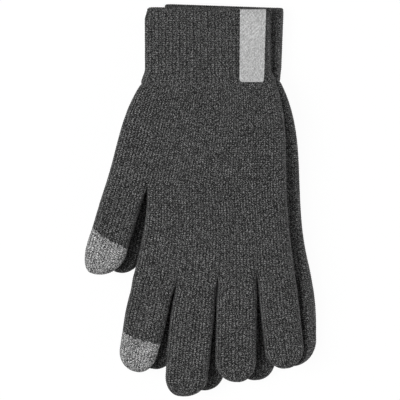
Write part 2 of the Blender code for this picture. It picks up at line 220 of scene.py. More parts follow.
def makeHeatherGroup():
    # Short flecks of dark and light fibre, finer fibres over them, a slow cloud, and painted shade and light from the
    # knit's depth
    group = bpy.data.node_groups.new("heatherYarn", "ShaderNodeTree")
    face = group.interface
    face.new_socket("Place", in_out="INPUT", socket_type="NodeSocketVector")
    face.new_socket("Dark", in_out="INPUT", socket_type="NodeSocketFloat")
    face.new_socket("Light", in_out="INPUT", socket_type="NodeSocketFloat")
    face.new_socket("Bias", in_out="INPUT", socket_type="NodeSocketFloat")
    face.new_socket("Depth", in_out="INPUT", socket_type="NodeSocketFloat")
    face.new_socket("Color", in_out="OUTPUT", socket_type="NodeSocketColor")
    face.new_socket("Height", in_out="OUTPUT", socket_type="NodeSocketFloat")
    given = addNode(group, "NodeGroupInput")
    result = addNode(group, "NodeGroupOutput")
    link = group.links.new

    def scaled(width, length, aside=0.0, ahead=0.0):
        node = addNode(group, "ShaderNodeVectorMath", operation="MULTIPLY_ADD")
        node.inputs[1].default_value = (1 / width, 1 / length, 1 / width)
        node.inputs[2].default_value = (aside / width, ahead / length, 0)
        link(given.outputs["Place"], node.inputs[0])
        return node.outputs[0]

    def flecks(aside, ahead, share):
        cells = addNode(group, "ShaderNodeTexVoronoi")
        cells.inputs["Scale"].default_value = 1
        link(scaled(heather["fleckWidth"], heather["fleckLength"], aside, ahead), cells.inputs["Vector"])
        split = addNode(group, "ShaderNodeSeparateColor")
        link(cells.outputs["Color"], split.inputs[0])
        curve = addNode(group, "ShaderNodeMath", operation="POWER")
        link(split.outputs[0], curve.inputs[0])
        link(given.outputs["Bias"], curve.inputs[1])
        part = addNode(group, "ShaderNodeMath", operation="MULTIPLY")
        link(curve.outputs[0], part.inputs[0])
        part.inputs[1].default_value = share
        return part.outputs[0]

    far, across, along = heather["surround"], heather["dimAcross"], heather["dimAlong"]
    light = flecks(0.0, 0.0, 1 + 2 * across + 2 * along)
    for aside, ahead, share in ((far, 0, -across), (-far, 0, -across), (0, far, -along), (0, -far, -along)):
        both = addNode(group, "ShaderNodeMath", operation="ADD")
        link(light, both.inputs[0])
        link(flecks(aside, ahead, share), both.inputs[1])
        light = both.outputs[0]
    fibres = addNode(group, "ShaderNodeTexNoise")
    fibres.inputs["Scale"].default_value = 1
    fibres.inputs["Detail"].default_value = 1
    link(scaled(heather["fibreWidth"], heather["fibreLength"]), fibres.inputs["Vector"])
    cloud = addNode(group, "ShaderNodeTexNoise")
    cloud.inputs["Scale"].default_value = 1
    cloud.inputs["Detail"].default_value = 2
    link(scaled(heather["cloudSize"], heather["cloudSize"]), cloud.inputs["Vector"])

    tone = addNode(group, "ShaderNodeMapRange")
    link(light, tone.inputs["Value"])
    link(given.outputs["Dark"], tone.inputs["To Min"])
    link(given.outputs["Light"], tone.inputs["To Max"])
    fine = addNode(group, "ShaderNodeMapRange")
    fine.inputs["From Min"].default_value = 0.25
    fine.inputs["From Max"].default_value = 0.75
    fine.inputs["To Min"].default_value = 0.55
    fine.inputs["To Max"].default_value = 1.45
    link(fibres.outputs["Fac"], fine.inputs["Value"])
    slow = addNode(group, "ShaderNodeMapRange")
    slow.inputs["From Min"].default_value = 0.3
    slow.inputs["From Max"].default_value = 0.7
    slow.inputs["To Min"].default_value = 0.94
    slow.inputs["To Max"].default_value = 1.06
    link(cloud.outputs["Fac"], slow.inputs["Value"])
    first = addNode(group, "ShaderNodeMath", operation="MULTIPLY")
    link(tone.outputs["Result"], first.inputs[0])
    link(fine.outputs["Result"], first.inputs[1])
    second = addNode(group, "ShaderNodeMath", operation="MULTIPLY")
    link(first.outputs[0], second.inputs[0])
    link(slow.outputs["Result"], second.inputs[1])
    # painted shade and light: yarn deep between two wales, or at the bottom of a rib, is drawn darker, and yarn on a
    # crest lighter
    crest = addNode(group, "ShaderNodeMapRange")
    crest.inputs["To Min"].default_value = heather["valley"]
    crest.inputs["To Max"].default_value = heather["crest"]
    link(given.outputs["Depth"], crest.inputs["Value"])
    third = addNode(group, "ShaderNodeMath", operation="MULTIPLY")
    link(second.outputs[0], third.inputs[0])
    link(crest.outputs["Result"], third.inputs[1])
    grey = addNode(group, "ShaderNodeCombineColor")
    for channel in range(3):
        link(third.outputs[0], grey.inputs[channel])
    link(grey.outputs[0], result.inputs["Color"])
    link(fibres.outputs["Fac"], result.inputs["Height"])
    return group


heatherGroup = makeHeatherGroup()

stitchFace = {
    "legPlace": 0.19,  # of a leg from the middle of its wale, and half its width, in wales
    "legHalf": 0.225,
    "slant": 0.14,  # how far a leg leaves the middle over one course
    "leanWidth": 0.5 * mm,  # how far the fibres lean with it
    "flat": 0.62,  # height where no stitch shows
    "uneven": 0.5,  # per mm, how soon the tightness changes, and by how much of a wale and a course
    "drawnWale": 0.45,
    "drawnCourse": 0.6,
}


def makeStitchGroup():
    # Height of the yarn in one stitch: two legs on the knit face, one bar on the purl face
    group = bpy.data.node_groups.new("knitStitch", "ShaderNodeTree")
    face = group.interface
    face.new_socket("Stitch", in_out="INPUT", socket_type="NodeSocketVector")
    face.new_socket("Purl", in_out="INPUT", socket_type="NodeSocketFloat")
    face.new_socket("Height", in_out="OUTPUT", socket_type="NodeSocketFloat")
    face.new_socket("Lean", in_out="OUTPUT", socket_type="NodeSocketFloat")
    given = addNode(group, "NodeGroupInput")
    result = addNode(group, "NodeGroupOutput")
    link = group.links.new

    maths = mathsIn(group)

    def bulge(offset):
        return maths("SQRT", maths("MAXIMUM", maths("SUBTRACT", 1.0, maths("MULTIPLY", offset, offset)), 0.0))

    parts = addNode(group, "ShaderNodeSeparateXYZ")
    link(given.outputs["Stitch"], parts.inputs[0])
    course = maths("FRACT", parts.outputs["Y"])
    aside = maths("SUBTRACT", maths("FRACT", parts.outputs["X"]), 0.5)
    slant = stitchFace["slant"]
    leg = maths("MULTIPLY_ADD", course, slant, stitchFace["legPlace"] - slant / 2)
    round_ = bulge(maths("DIVIDE", maths("SUBTRACT", maths("ABSOLUTE", aside), leg), stitchFace["legHalf"]))
    swell = maths("SINE", maths("MULTIPLY_ADD", course, 0.8 * math.pi, 0.12 * math.pi))
    knit = maths("MULTIPLY", round_, maths("MULTIPLY_ADD", swell, 0.85, 0.15))
    bar = bulge(maths("MULTIPLY_ADD", course, 2.0, -1.0))
    purl = maths("MULTIPLY", bar, maths("MULTIPLY_ADD", maths("COSINE", maths("MULTIPLY", aside, 2 * math.pi)), 0.2, 0.7))
    height = maths("ADD", knit, maths("MULTIPLY", maths("SUBTRACT", purl, knit), given.outputs["Purl"]))
    lean = maths("MULTIPLY", maths("SIGN", aside), maths("SUBTRACT", course, 0.5))
    link(height, result.inputs["Height"])
    link(maths("MULTIPLY", lean, maths("SUBTRACT", 1.0, given.outputs["Purl"])), result.inputs["Lean"])
    return group


stitchGroup = makeStitchGroup()


def principled(name):
    material = bpy.data.materials.new(name)
    material.use_nodes = True
    return material, material.node_tree, material.node_tree.nodes["Principled BSDF"]


def makeYarn(name):
    look = yarns[name]
    material, tree, shader = principled(name)
    place = addNode(tree, "ShaderNodeAttribute", attribute_name="yarnPlace")
    yarn = addNode(tree, "ShaderNodeGroup", node_tree=heatherGroup)
    if "from" in look:
        # the first course is knitted into the yarn before it
        change = addNode(tree, "ShaderNodeAttribute", attribute_name="yarnChange")
    for key in ("dark", "light", "bias"):
        if "from" in look:
            value = addNode(tree, "ShaderNodeMapRange")
            value.inputs["To Min"].default_value = yarns[look["from"]][key]
            value.inputs["To Max"].default_value = look[key]
            tree.links.new(change.outputs["Fac"], value.inputs["Value"])
            tree.links.new(value.outputs["Result"], yarn.inputs[key.title()])
        else:
            yarn.inputs[key.title()].default_value = look[key]
    link = tree.links.new

    maths = mathsIn(tree)
    stitch = addNode(tree, "ShaderNodeGroup", node_tree=stitchGroup)
    # no two stitches are drawn equally tight
    drawn = addNode(tree, "ShaderNodeTexNoise")
    drawn.inputs["Scale"].default_value = stitchFace["uneven"] / mm
    drawn.inputs["Detail"].default_value = 0.0
    link(place.outputs["Vector"], drawn.inputs["Vector"])
    shift = addNode(tree, "ShaderNodeVectorMath", operation="MULTIPLY_ADD")
    link(drawn.outputs["Color"], shift.inputs[0])
    shift.inputs[1].default_value = (stitchFace["drawnWale"], stitchFace["drawnCourse"], 0)
    link(addNode(tree, "ShaderNodeUVMap", uv_map="stitches").outputs["UV"], shift.inputs[2])
    link(shift.outputs[0], stitch.inputs["Stitch"])
    link(addNode(tree, "ShaderNodeAttribute", attribute_name="purl").outputs["Fac"], stitch.inputs["Purl"])
    knitted = addNode(tree, "ShaderNodeAttribute", attribute_name="knitted").outputs["Fac"]
    # painted shade: yarn at the bottom of a rib is drawn darker
    ribs = addNode(tree, "ShaderNodeAttribute", attribute_name="ribPaintedShade").outputs["Fac"]
    # painted shade and light: the stitch's height sets how dark or light its yarn is drawn
    height = maths("SUBTRACT", maths("MULTIPLY", stitch.outputs["Height"], ribs), stitchFace["flat"])
    height = maths("MULTIPLY_ADD", height, maths("MULTIPLY", knitted, look["clear"]), stitchFace["flat"])
    link(height, yarn.inputs["Depth"])
    leaning = addNode(tree, "ShaderNodeCombineXYZ")
    link(maths("MULTIPLY", maths("MULTIPLY", stitch.outputs["Lean"], knitted), -stitchFace["leanWidth"]), leaning.inputs["X"])
    moved = addNode(tree, "ShaderNodeVectorMath", operation="ADD")
    link(place.outputs["Vector"], moved.inputs[0])
    link(leaning.outputs[0], moved.inputs[1])
    link(moved.outputs[0], yarn.inputs["Place"])
    bump = addNode(tree, "ShaderNodeBump")
    bump.inputs["Strength"].default_value = 0.5
    bump.inputs["Distance"].default_value = 0.2 * mm
    link(maths("MULTIPLY_ADD", yarn.outputs["Height"], 0.6, height), bump.inputs["Height"])
    tree.links.new(yarn.outputs["Color"], shader.inputs["Base Color"])
    tree.links.new(bump.outputs["Normal"], shader.inputs["Normal"])
    shader.inputs["Roughness"].default_value = look["roughness"]
    shader.inputs["Sheen Weight"].default_value = look["sheen"]
    shader.inputs["Specular IOR Level"].default_value = 0.2
    return material


finish = {name: makeYarn(name) for name in yarns}
print("finishes made:", ", ".join(finish))


# Knit: Geometry Nodes raise ribs and V-shaped stitches on a smooth tube that carries its stitch attributes

jersey = {
    "course": 1.2 * mm,  # height of a stitch
    "columns": 4,  # mesh columns in one wale
    "rows": 3,  # mesh rows in one course
    "relief": 0.36 * mm,  # how far a leg of yarn stands up
    "spread": 0.34,  # how far the legs of a V open, in wales
    "unevenness": 0.22,
    "seed": 11,
}


def makeStitchTree():
    tree = bpy.data.node_groups.new("knitStitches", "GeometryNodeTree")
    face = tree.interface
    face.new_socket("Geometry", in_out="INPUT", socket_type="NodeSocketGeometry")
    for name in ("Relief", "Spread", "Rib Depth", "Unevenness"):
        face.new_socket(name, in_out="INPUT", socket_type="NodeSocketFloat")
    face.new_socket("Seed", in_out="INPUT", socket_type="NodeSocketInt")
    face.new_socket("Material", in_out="INPUT", socket_type="NodeSocketMaterial")
    face.new_socket("Geometry", in_out="OUTPUT", socket_type="NodeSocketGeometry")
    given = addNode(tree, "NodeGroupInput")
    result = addNode(tree, "NodeGroupOutput")
    link = tree.links.new

    def attribute(name, kind):
        node = addNode(tree, "GeometryNodeInputNamedAttribute", data_type=kind)
        node.inputs["Name"].default_value = name
        return node.outputs["Attribute"]

    def maths(operation, a, b=None):
        node = addNode(tree, "ShaderNodeMath", operation=operation)
        for socket, value in zip(node.inputs, (a, b)):
            if isinstance(value, (int, float)):
                socket.default_value = value
            elif value is not None:
                link(value, socket)
        return node.outputs[0]

    def scale(vector, amount):
        node = addNode(tree, "ShaderNodeVectorMath", operation="SCALE")
        link(vector, node.inputs[0])
        link(amount, node.inputs["Scale"])
        return node.outputs[0]

    wale = attribute("waleShare", "FLOAT")
    course = attribute("courseShare", "FLOAT")
    mask = attribute("knitted", "FLOAT")
    purl = attribute("purl", "FLOAT")
    rib = attribute("ribShare", "FLOAT")
    ribMask = attribute("ribMask", "FLOAT")
    across = attribute("waleStep", "FLOAT_VECTOR")
    stitch = attribute("stitch", "INT")
    normal = addNode(tree, "GeometryNodeInputNormal").outputs[0]

    # each stitch is a little taller or flatter than its neighbours
    chance = addNode(tree, "FunctionNodeRandomValue", data_type="FLOAT")
    link(stitch, chance.inputs["ID"])
    link(given.outputs["Seed"], chance.inputs["Seed"])
    wobble = maths("MULTIPLY", maths("SUBTRACT", chance.outputs[1], 0.5), given.outputs["Unevenness"])
    height = maths("MULTIPLY", maths("MULTIPLY", given.outputs["Relief"], mask), maths("ADD", wobble, 1.0))

    # knit face: two legs, highest in the middle of the stitch and sinking where the next one starts
    strands = maths("ABSOLUTE", maths("SINE", maths("MULTIPLY", wale, 2 * math.pi)))
    middle = maths("POWER", maths("SINE", maths("MULTIPLY", wale, math.pi)), 2.0)
    legs = maths("MAXIMUM", strands, maths("MULTIPLY", middle, 0.8))
    swell = maths("SINE", maths("ADD", maths("MULTIPLY", course, 0.35 * 2 * math.pi), 0.35))
    leg = maths("MULTIPLY", legs, maths("ADD", maths("MULTIPLY", swell, 0.6), 0.4))
    # purl face: one bar across the stitch
    bar = maths("MULTIPLY", maths("SINE", maths("MULTIPLY", course, math.pi)), 0.95)
    shape = maths("ADD", maths("MULTIPLY", leg, maths("SUBTRACT", 1.0, purl)), maths("MULTIPLY", bar, purl))
    raised = maths("MULTIPLY", height, shape)
    wave = maths("COSINE", maths("MULTIPLY", maths("SUBTRACT", rib, 0.25), 2 * math.pi))
    dip = maths("MULTIPLY", maths("SUBTRACT", 0.5, maths("MULTIPLY", wave, 0.5)), ribMask)
    sunk = maths("MULTIPLY", dip, given.outputs["Rib Depth"])
    up = scale(normal, maths("SUBTRACT", raised, sunk))

    side = maths("SIGN", maths("SUBTRACT", wale, 0.5))
    lean = maths("MULTIPLY", maths("SUBTRACT", course, 0.36), given.outputs["Spread"])
    opened = maths("MULTIPLY", maths("MULTIPLY", strands, side), maths("MULTIPLY", lean, mask))
    knitOnly = maths("MULTIPLY", opened, maths("SUBTRACT", 1.0, purl))
    move = addNode(tree, "ShaderNodeVectorMath", operation="ADD")
    link(up, move.inputs[0])
    link(scale(across, knitOnly), move.inputs[1])

    # painted shade: how far down a rib the yarn lies, kept for the yarn material to darken its colour
    keep = addNode(tree, "GeometryNodeStoreNamedAttribute", data_type="FLOAT", domain="POINT")
    keep.inputs["Name"].default_value = "ribPaintedShade"
    link(given.outputs["Geometry"], keep.inputs["Geometry"])
    link(maths("SUBTRACT", 1.0, maths("MULTIPLY", dip, 0.15)), keep.inputs["Value"])
    raise_ = addNode(tree, "GeometryNodeSetPosition")
    link(keep.outputs["Geometry"], raise_.inputs["Geometry"])
    link(move.outputs[0], raise_.inputs["Offset"])
    solid = addNode(tree, "GeometryNodeRealizeInstances")
    link(raise_.outputs[0], solid.inputs[0])
    finished = addNode(tree, "GeometryNodeSetMaterial")
    link(solid.outputs[0], finished.inputs["Geometry"])
    link(given.outputs["Material"], finished.inputs["Material"])
    link(finished.outputs[0], result.inputs[0])
    return tree


stitchTree = makeStitchTree()


settling = {  # where the pair lies lower than at the hands, and by which share of its height
    "fingersFrom": -40 * mm,
    "fingersOver": 40 * mm,
    "fingers": 0.16,
    "cuffsFrom": 50 * mm,
    "cuffsOver": 45 * mm,
    "cuffs": 0.38,
}


def ease(share):
    share = np.clip(share, 0, 1)
    return share * share * (3 - 2 * share)


def settledHeight(y, z):
    lower = settling["fingers"] * ease((settling["fingersFrom"] - y) / settling["fingersOver"])
    lower += settling["cuffs"] * ease((y - settling["cuffsFrom"]) / settling["cuffsOver"])
    return z * (1 - lower)


def settle(mesh):
    # fingers and cuffs press flatter than the hands do
    points = np.empty(len(mesh.vertices) * 3, np.float32)
    mesh.vertices.foreach_get("co", points)
    points = points.reshape(-1, 3)
    points[:, 2] = settledHeight(points[:, 1], points[:, 2])
    mesh.vertices.foreach_set("co", points.ravel())
    mesh.update()


def bake(source, name, tree, values):
    # puts a Geometry Nodes tree on an object, and keeps the result as a plain mesh
    modifier = source.modifiers.new("nodes", "NODES")
    modifier.node_group = tree
    for item in tree.interface.items_tree:
        if item.in_out == "INPUT" and item.name in values:
            modifier[item.identifier] = values[item.name]
    bpy.context.view_layer.update()
    shown = source.evaluated_get(bpy.context.evaluated_depsgraph_get())
    mesh = bpy.data.meshes.new_from_object(shown)
    mesh.name = name
    old = source.data
    bpy.data.objects.remove(source)
    if isinstance(old, bpy.types.Mesh):
        bpy.data.meshes.remove(old)
    settle(mesh)
    piece = bpy.data.objects.new(name, mesh)
    bpy.context.scene.collection.objects.link(piece)
    return piece


def addMesh(name, points, faces):
    # faces is a list of arrays, one for each number of corners
    mesh = bpy.data.meshes.new(name)
    corners = np.concatenate([group.ravel() for group in faces]).astype(np.int32)
    sizes = np.concatenate([np.full(len(group), group.shape[1]) for group in faces])
    starts = np.concatenate(([0], np.cumsum(sizes)[:-1])).astype(np.int32)
    mesh.vertices.add(len(points))
    mesh.vertices.foreach_set("co", np.asarray(points, np.float32).ravel())
    mesh.loops.add(len(corners))
    mesh.loops.foreach_set("vertex_index", corners)
    mesh.polygons.add(len(sizes))
    mesh.polygons.foreach_set("loop_start", starts)
    mesh.update(calc_edges=True)
    mesh.shade_smooth()
    piece = bpy.data.objects.new(name, mesh)
    bpy.context.scene.collection.objects.link(piece)
    return piece


def addAttribute(piece, name, kind, values):
    attribute = piece.data.attributes.new(name, kind, "POINT")
    key = "vector" if kind == "FLOAT_VECTOR" else "value"
    dtype = np.int32 if kind == "INT" else np.float32
    attribute.data.foreach_set(key, np.ascontiguousarray(values, dtype).ravel())


def addMap(piece, name, places, turn):
    # a UV map from places at the vertices; turn is the width after which the first coordinate starts again
    mesh = piece.data
    corners = np.empty(len(mesh.loops), np.int32)
    mesh.loops.foreach_get("vertex_index", corners)
    sizes = np.empty(len(mesh.polygons), np.int32)
    starts = np.empty(len(mesh.polygons), np.int32)
    mesh.polygons.foreach_get("loop_total", sizes)
    mesh.polygons.foreach_get("loop_start", starts)
    flat = places[corners]
    most = np.repeat(np.maximum.reduceat(flat[:, 0], starts), sizes)
    flat[:, 0] += np.where(most - flat[:, 0] > turn / 2, turn, 0)
    mesh.uv_layers.new(name=name)
    mesh.uv_layers[name].uv.foreach_set("vector", flat.astype(np.float32).ravel())


def tube(name, outer, inner, closed):
    # a shell from rings that run from the cuff to the fingertip: a fine outer wall, a coarse inner one and rims
    rows, columns = outer.shape[:2]
    innerRows, innerColumns = inner.shape[:2]
    step = columns // innerColumns
    first = rows * columns
    out = np.arange(first).reshape(rows, columns)
    back = first + np.arange(innerRows * innerColumns).reshape(innerRows, innerColumns)
    outNext = np.roll(out, -1, axis=1)
    backNext = np.roll(back, -1, axis=1)
    points = [outer.reshape(-1, 3), inner.reshape(-1, 3)]

    def quads(a, b, c, d):
        return np.stack((a, b, c, d), axis=-1).reshape(-1, 4)

    faces = [
        quads(out[:-1], out[1:], outNext[1:], outNext[:-1]),
        quads(backNext[:-1], backNext[1:], back[1:], back[:-1]),
    ]
    index = (np.arange(innerColumns)[:, None] * step + np.arange(step + 1)) % columns
    faces.append(np.column_stack((out[0][index], backNext[0], back[0])))
    if closed:
        tip = first + innerRows * innerColumns
        points += [outer[-1].mean(0)[None], inner[-1].mean(0)[None]]
        faces.append(np.column_stack((outNext[-1], out[-1], np.full(columns, tip))))
        faces.append(np.column_stack((back[-1], backNext[-1], np.full(innerColumns, tip + 1))))
    else:
        faces.append(np.column_stack((out[-1][index[:, ::-1]], back[-1], backNext[-1])))
    return addMesh(name, np.concatenate(points), faces)


def knitTube(name, outer, inner, material, closed=False, ribs=None, mask=None):
    # stitch attributes for a tube whose rings start at the middle of one side
    rows, columns = outer.shape[:2]
    smooth = tube(name, outer, inner, closed)
    spare = len(smooth.data.vertices) - rows * columns
    column = np.tile(np.arange(columns), (rows, 1))
    row = np.tile(np.arange(rows)[:, None], (1, columns))
    wide, tall = jersey["columns"], jersey["rows"]
    around = np.roll(outer, -1, axis=1) - np.roll(outer, 1, axis=1)
    waleStep = around * wide / 2
    width = np.linalg.norm(waleStep, axis=-1)
    relief = np.clip(width / (1.2 * mm), 0, 1)
    if mask is not None:
        relief = relief * mask[:, None]
    purl = np.zeros((rows, columns))
    ribShare = np.full((rows, columns), 0.25)
    ribMask = np.zeros((rows, columns))
    if ribs is not None:
        purl = ((column // wide) % 2).astype(float) * ribs
        ribShare = (column % (2 * wide)) / (2 * wide)
        ribMask = ribs

    def padded(values, fill=0.0):
        flat = values.reshape(rows * columns, -1)
        return np.concatenate((flat, np.full((spare, flat.shape[1]), fill)))

    addAttribute(smooth, "waleShare", "FLOAT", padded(column % wide / wide))
    addAttribute(smooth, "courseShare", "FLOAT", padded(row % tall / tall))
    addAttribute(smooth, "knitted", "FLOAT", padded(relief))
    addAttribute(smooth, "purl", "FLOAT", padded(purl))
    addAttribute(smooth, "ribShare", "FLOAT", padded(ribShare, 0.25))
    addAttribute(smooth, "ribMask", "FLOAT", padded(ribMask))
    addAttribute(smooth, "waleStep", "FLOAT_VECTOR", padded(waleStep))
    addAttribute(smooth, "stitch", "INT", padded(row // tall * 1000 + column // wide))
    step = columns // inner.shape[1]
    back = np.meshgrid(np.arange(inner.shape[1]) * step / wide, np.arange(inner.shape[0]))
    places = [
        np.column_stack((column.ravel() / wide, row.ravel() / tall)),
        np.column_stack((back[0].ravel(), back[1].ravel())),
        np.tile((0.25, rows / tall), (spare - inner.shape[0] * inner.shape[1], 1)),
    ]
    addMap(smooth, "stitches", np.concatenate(places), columns / wide)
    # where a new yarn starts, its first stitches reach up between those before them
    chance = np.random.default_rng(jersey["seed"]).random(columns // wide)[column // wide]
    begin = 0.2 + 0.4 * np.abs(2 * (column % wide) / wide - 1) + 0.6 * (chance - 0.5)
    change = ease((row / tall - begin) / 0.5 + 0.5)
    addAttribute(smooth, "yarnChange", "FLOAT", padded(change, 1.0))
    points = np.concatenate((outer.reshape(-1, 3), inner.reshape(-1, 3)))
    if closed:
        points = np.concatenate((points, outer[-1].mean(0)[None], inner[-1].mean(0)[None]))
    addAttribute(smooth, "yarnPlace", "FLOAT_VECTOR", points)
    piece = bake(smooth, name, stitchTree, {
        "Relief": jersey["relief"],
        "Spread": jersey["spread"],
        "Rib Depth": cuff["ribDepth"],
        "Unevenness": jersey["unevenness"],
        "Seed": jersey["seed"],
        "Material": material,
    })
    for spent in ("waleShare", "courseShare", "ribShare", "ribMask", "waleStep", "stitch"):
        piece.data.attributes.remove(piece.data.attributes[spent])
    return piece


# Sections of a flat tube, from the middle of its left side over the top to the middle of its right side

fabric = {
    "wall": 1.6 * mm,
    "half": 5.0 * mm,  # half the thickness of a glove
    "reach": 5.5 * mm,  # how far in from the outline a side edge rounds over
    "grooveDepth": 1.5 * mm,  # between two digits, where they leave the hand
    "grooveWidth": 1.4 * mm,
    "sag": 0.5 * mm,  # slow unevenness of the upper face
}


def heading(angle):
    turn = math.radians(angle)
    return np.array((math.cos(turn), math.sin(turn)))


def outlineCurve(start, startAngle, end, endAngle, shares):
    grip = np.linalg.norm(end - start) * handPlan["grip"]
    a, b = start + heading(startAngle) * grip, end - heading(endAngle) * grip
    t = np.asarray(shares)[:, None]
    return start * (1 - t) ** 3 + a * 3 * t * (1 - t) ** 2 + b * 3 * t * t * (1 - t) + end * t ** 3


def halfSection(width, half, reachLeft, reachRight, grooves=()):
    turn = np.linspace(0, math.pi / 2, 20)
    top = np.linspace(reachLeft, width - reachRight, 160)[1:-1]
    across = np.concatenate((
        reachLeft * (1 - np.cos(turn)), top, width - reachRight * (1 - np.cos(turn[::-1]))
    ))
    up = np.concatenate((half * np.sin(turn), np.full(len(top), half), half * np.sin(turn[::-1])))
    share = up / half
    for place, depth in grooves:
        up = up - share * depth * np.exp(-(((across - place) / fabric["grooveWidth"]) ** 2))
    travel = np.concatenate(([0], np.cumsum(np.hypot(np.diff(across), np.diff(up)))))
    return across, up, travel, len(turn) - 1


def spaced(keys, counts):
    # arc lengths with counts[i] equal steps between keys[i] and keys[i + 1]
    parts = [np.linspace(a, b, n, endpoint=False) for a, b, n in zip(keys, keys[1:], counts)]
    return np.concatenate((*parts, [keys[-1]]))


def wholeRing(line, section, lengths, lower=1.0):
    # a closed ring over a line in plan, from the columns' places along the upper half; the lower half mirrors it
    across, up, travel, _ = section
    q = np.interp(lengths, travel, across)
    z = np.interp(lengths, travel, up)
    steps = np.concatenate(([0], np.cumsum(np.linalg.norm(np.diff(line, axis=0), axis=1))))
    x = np.interp(q, steps, line[:, 0])
    y = np.interp(q, steps, line[:, 1])
    upper = np.column_stack((x, y, z))
    under = np.column_stack((x, y, -z * lower))[::-1]
    return np.concatenate((upper[:-1], under[:-1]))


def sagged(rings):
    # lowers the upper face a little, unevenly, as soft fabric lies
    x, y = rings[..., 0] / mm, rings[..., 1] / mm
    waves = (
        np.sin(x / 7.9 + y / 15.0 + 0.7) + np.sin(y / 9.5 - x / 21.0 + 2.1)
        + np.sin(x / 17.0 - y / 29.0 + 4.0) + np.sin(x / 31.0 + y / 12.7 + 5.2)
    )
    drop = fabric["sag"] * (0.5 + waves / 8)
    rings[..., 2] -= np.where(rings[..., 2] > 0, drop * rings[..., 2] / fabric["half"], 0)
    return rings


# Plan of a glove, in metres from the middle of its wrist seam, with the thumb towards -X and the fingers -Y

handPlan = {
    "wristWidth": 81.6 * mm,
    "thumbCrotch": np.array((-37.1, -62.4)) * mm,
    "knuckle": np.array((-44.6, -112.8)) * mm,
    "fingerGap": 0.5 * mm,
    "thumbGap": 0.1 * mm,
    "grip": 0.36,  # handle of an outline curve, as a share of its length
    "wristLeft": -123,  # headings of the outline, in degrees
    "thumbLeft": -107.5,
    "crotch": -88,
    "knuckleLeft": -103.4,
    "palmRight": -88,
    "dome": 13 * mm,  # rounded end of a digit
    "sideColumns": 6,  # mesh columns down half of an upright side between two digits
}
digits = {
    "thumb": {
        "length": 56.2 * mm, "rootWidth": 24.5 * mm, "width": 24.5 * mm, "slope": -10.0,
        "cap": 23.2 * mm, "capTilt": -9.0, "capBend": 2.9 * mm, "wales": 12,
    },
    "index": {
        "length": 58.2 * mm, "rootWidth": 26.0 * mm, "width": 23.0 * mm, "slope": -14.0,
        "cap": 20.9 * mm, "capTilt": -1.0, "capBend": 2.8 * mm, "wales": 12,
    },
    "middle": {
        "length": 70.7 * mm, "rootWidth": 25.3 * mm, "width": 25.6 * mm, "slope": 8.9,
        "cap": 0, "capTilt": 0, "wales": 12,
    },
    "ring": {
        "length": 64.0 * mm, "rootWidth": 23.3 * mm, "width": 24.6 * mm, "slope": 3.0,
        "cap": 0, "capTilt": 0, "wales": 11,
    },
    "little": {
        "length": 57.9 * mm, "rootWidth": 24.1 * mm, "width": 23.6 * mm, "slope": 5.7,
        "cap": 0, "capTilt": 0, "wales": 12,
    },
}
fingers = ("index", "middle", "ring", "little")

# How each glove lies: the lean of its digits, what is pulled longer or wider, sides that bow out (left, right),
# tips that point aside, its wrist and its cuff's mouth
lies = {
    "left": {
        "lean": {"thumb": -17.2, "index": -12.6, "middle": -6.2, "ring": -1.1, "little": 6.4},
        "longer": {
            "thumb": 1.3 * mm, "index": 0.3 * mm, "middle": 0.8 * mm, "ring": 0.9 * mm, "little": 0.9 * mm
        },
        "wider": {}, "rootWider": {"little": -1.4 * mm},
        "bowed": {"index": (1.5 * mm, 1.0 * mm), "middle": (0.8 * mm, 0)},
        "puffed": {}, "dome": {"thumb": 17 * mm},
        "tipAside": {"thumb": -4.5 * mm, "index": 1.0 * mm, "middle": -2.8 * mm, "ring": 1.0 * mm},
        "palmSide": 46.8 * mm,
        "wristHeading": -72, "littleHeading": -81.4,
        "wristPull": 0, "mouthPull": -0.28 * mm, "mouthDrop": 0.9 * mm, "mouthRise": 0.9 * mm, "mouthOpen": 0,
        "corner": 2.1 * mm,
        "cuffPuff": 0, "cuffDroop": 0.75,
    },
    "right": {
        "lean": {"thumb": -11.3, "index": -7.8, "middle": -2.8, "ring": 4.6, "little": 6.0},
        "longer": {"thumb": 0.7 * mm, "index": 0.6 * mm, "middle": -0.6 * mm, "ring": 2.6 * mm, "little": 1.9 * mm},
        "wider": {"little": 1.3 * mm, "thumb": -1.2 * mm}, "rootWider": {},
        "bowed": {"little": (0, 1.5 * mm)},
        "puffed": {"little": 4 * mm}, "dome": {"thumb": 17 * mm, "little": 17 * mm},
        "tipAside": {"thumb": -1.6 * mm, "little": -3.2 * mm},
        "palmSide": 48.5 * mm,
        "wristHeading": -63, "littleHeading": -76,
        "wristPull": 4.0 * mm, "mouthPull": 5.1 * mm, "mouthDrop": 2.5 * mm, "mouthRise": 1.2 * mm, "mouthOpen": 1.7 * mm,
        "corner": 0.7 * mm,
        "cuffPuff": 1.25, "cuffDroop": 0,
    },
}


def pulledDigit(side, name):
    digit, lie = dict(digits[name]), lies[side]
    digit["lean"] = lie["lean"][name]
    digit["dome"] = lie["dome"].get(name, handPlan["dome"])
    digit["length"] += lie["longer"].get(name, 0)
    digit["width"] += lie["wider"].get(name, 0)
    digit["rootWidth"] += lie["wider"].get(name, 0) + lie["rootWider"].get(name, 0)
    return digit


def planRoots(side):
    thumb = pulledDigit(side, "thumb")
    crotch = handPlan["thumbCrotch"]
    lines = {"thumb": (crotch - heading(thumb["slope"]) * thumb["rootWidth"], crotch)}
    corner = handPlan["knuckle"]
    for name in fingers:
        digit = pulledDigit(side, name)
        end = corner + heading(digit["slope"]) * digit["rootWidth"]
        lines[name] = (corner, end)
        corner = end
    return lines


roots = {side: planRoots(side) for side in lies}


# Hand: the heel from the wrist to the thumb crotch, then the palm to the finger roots


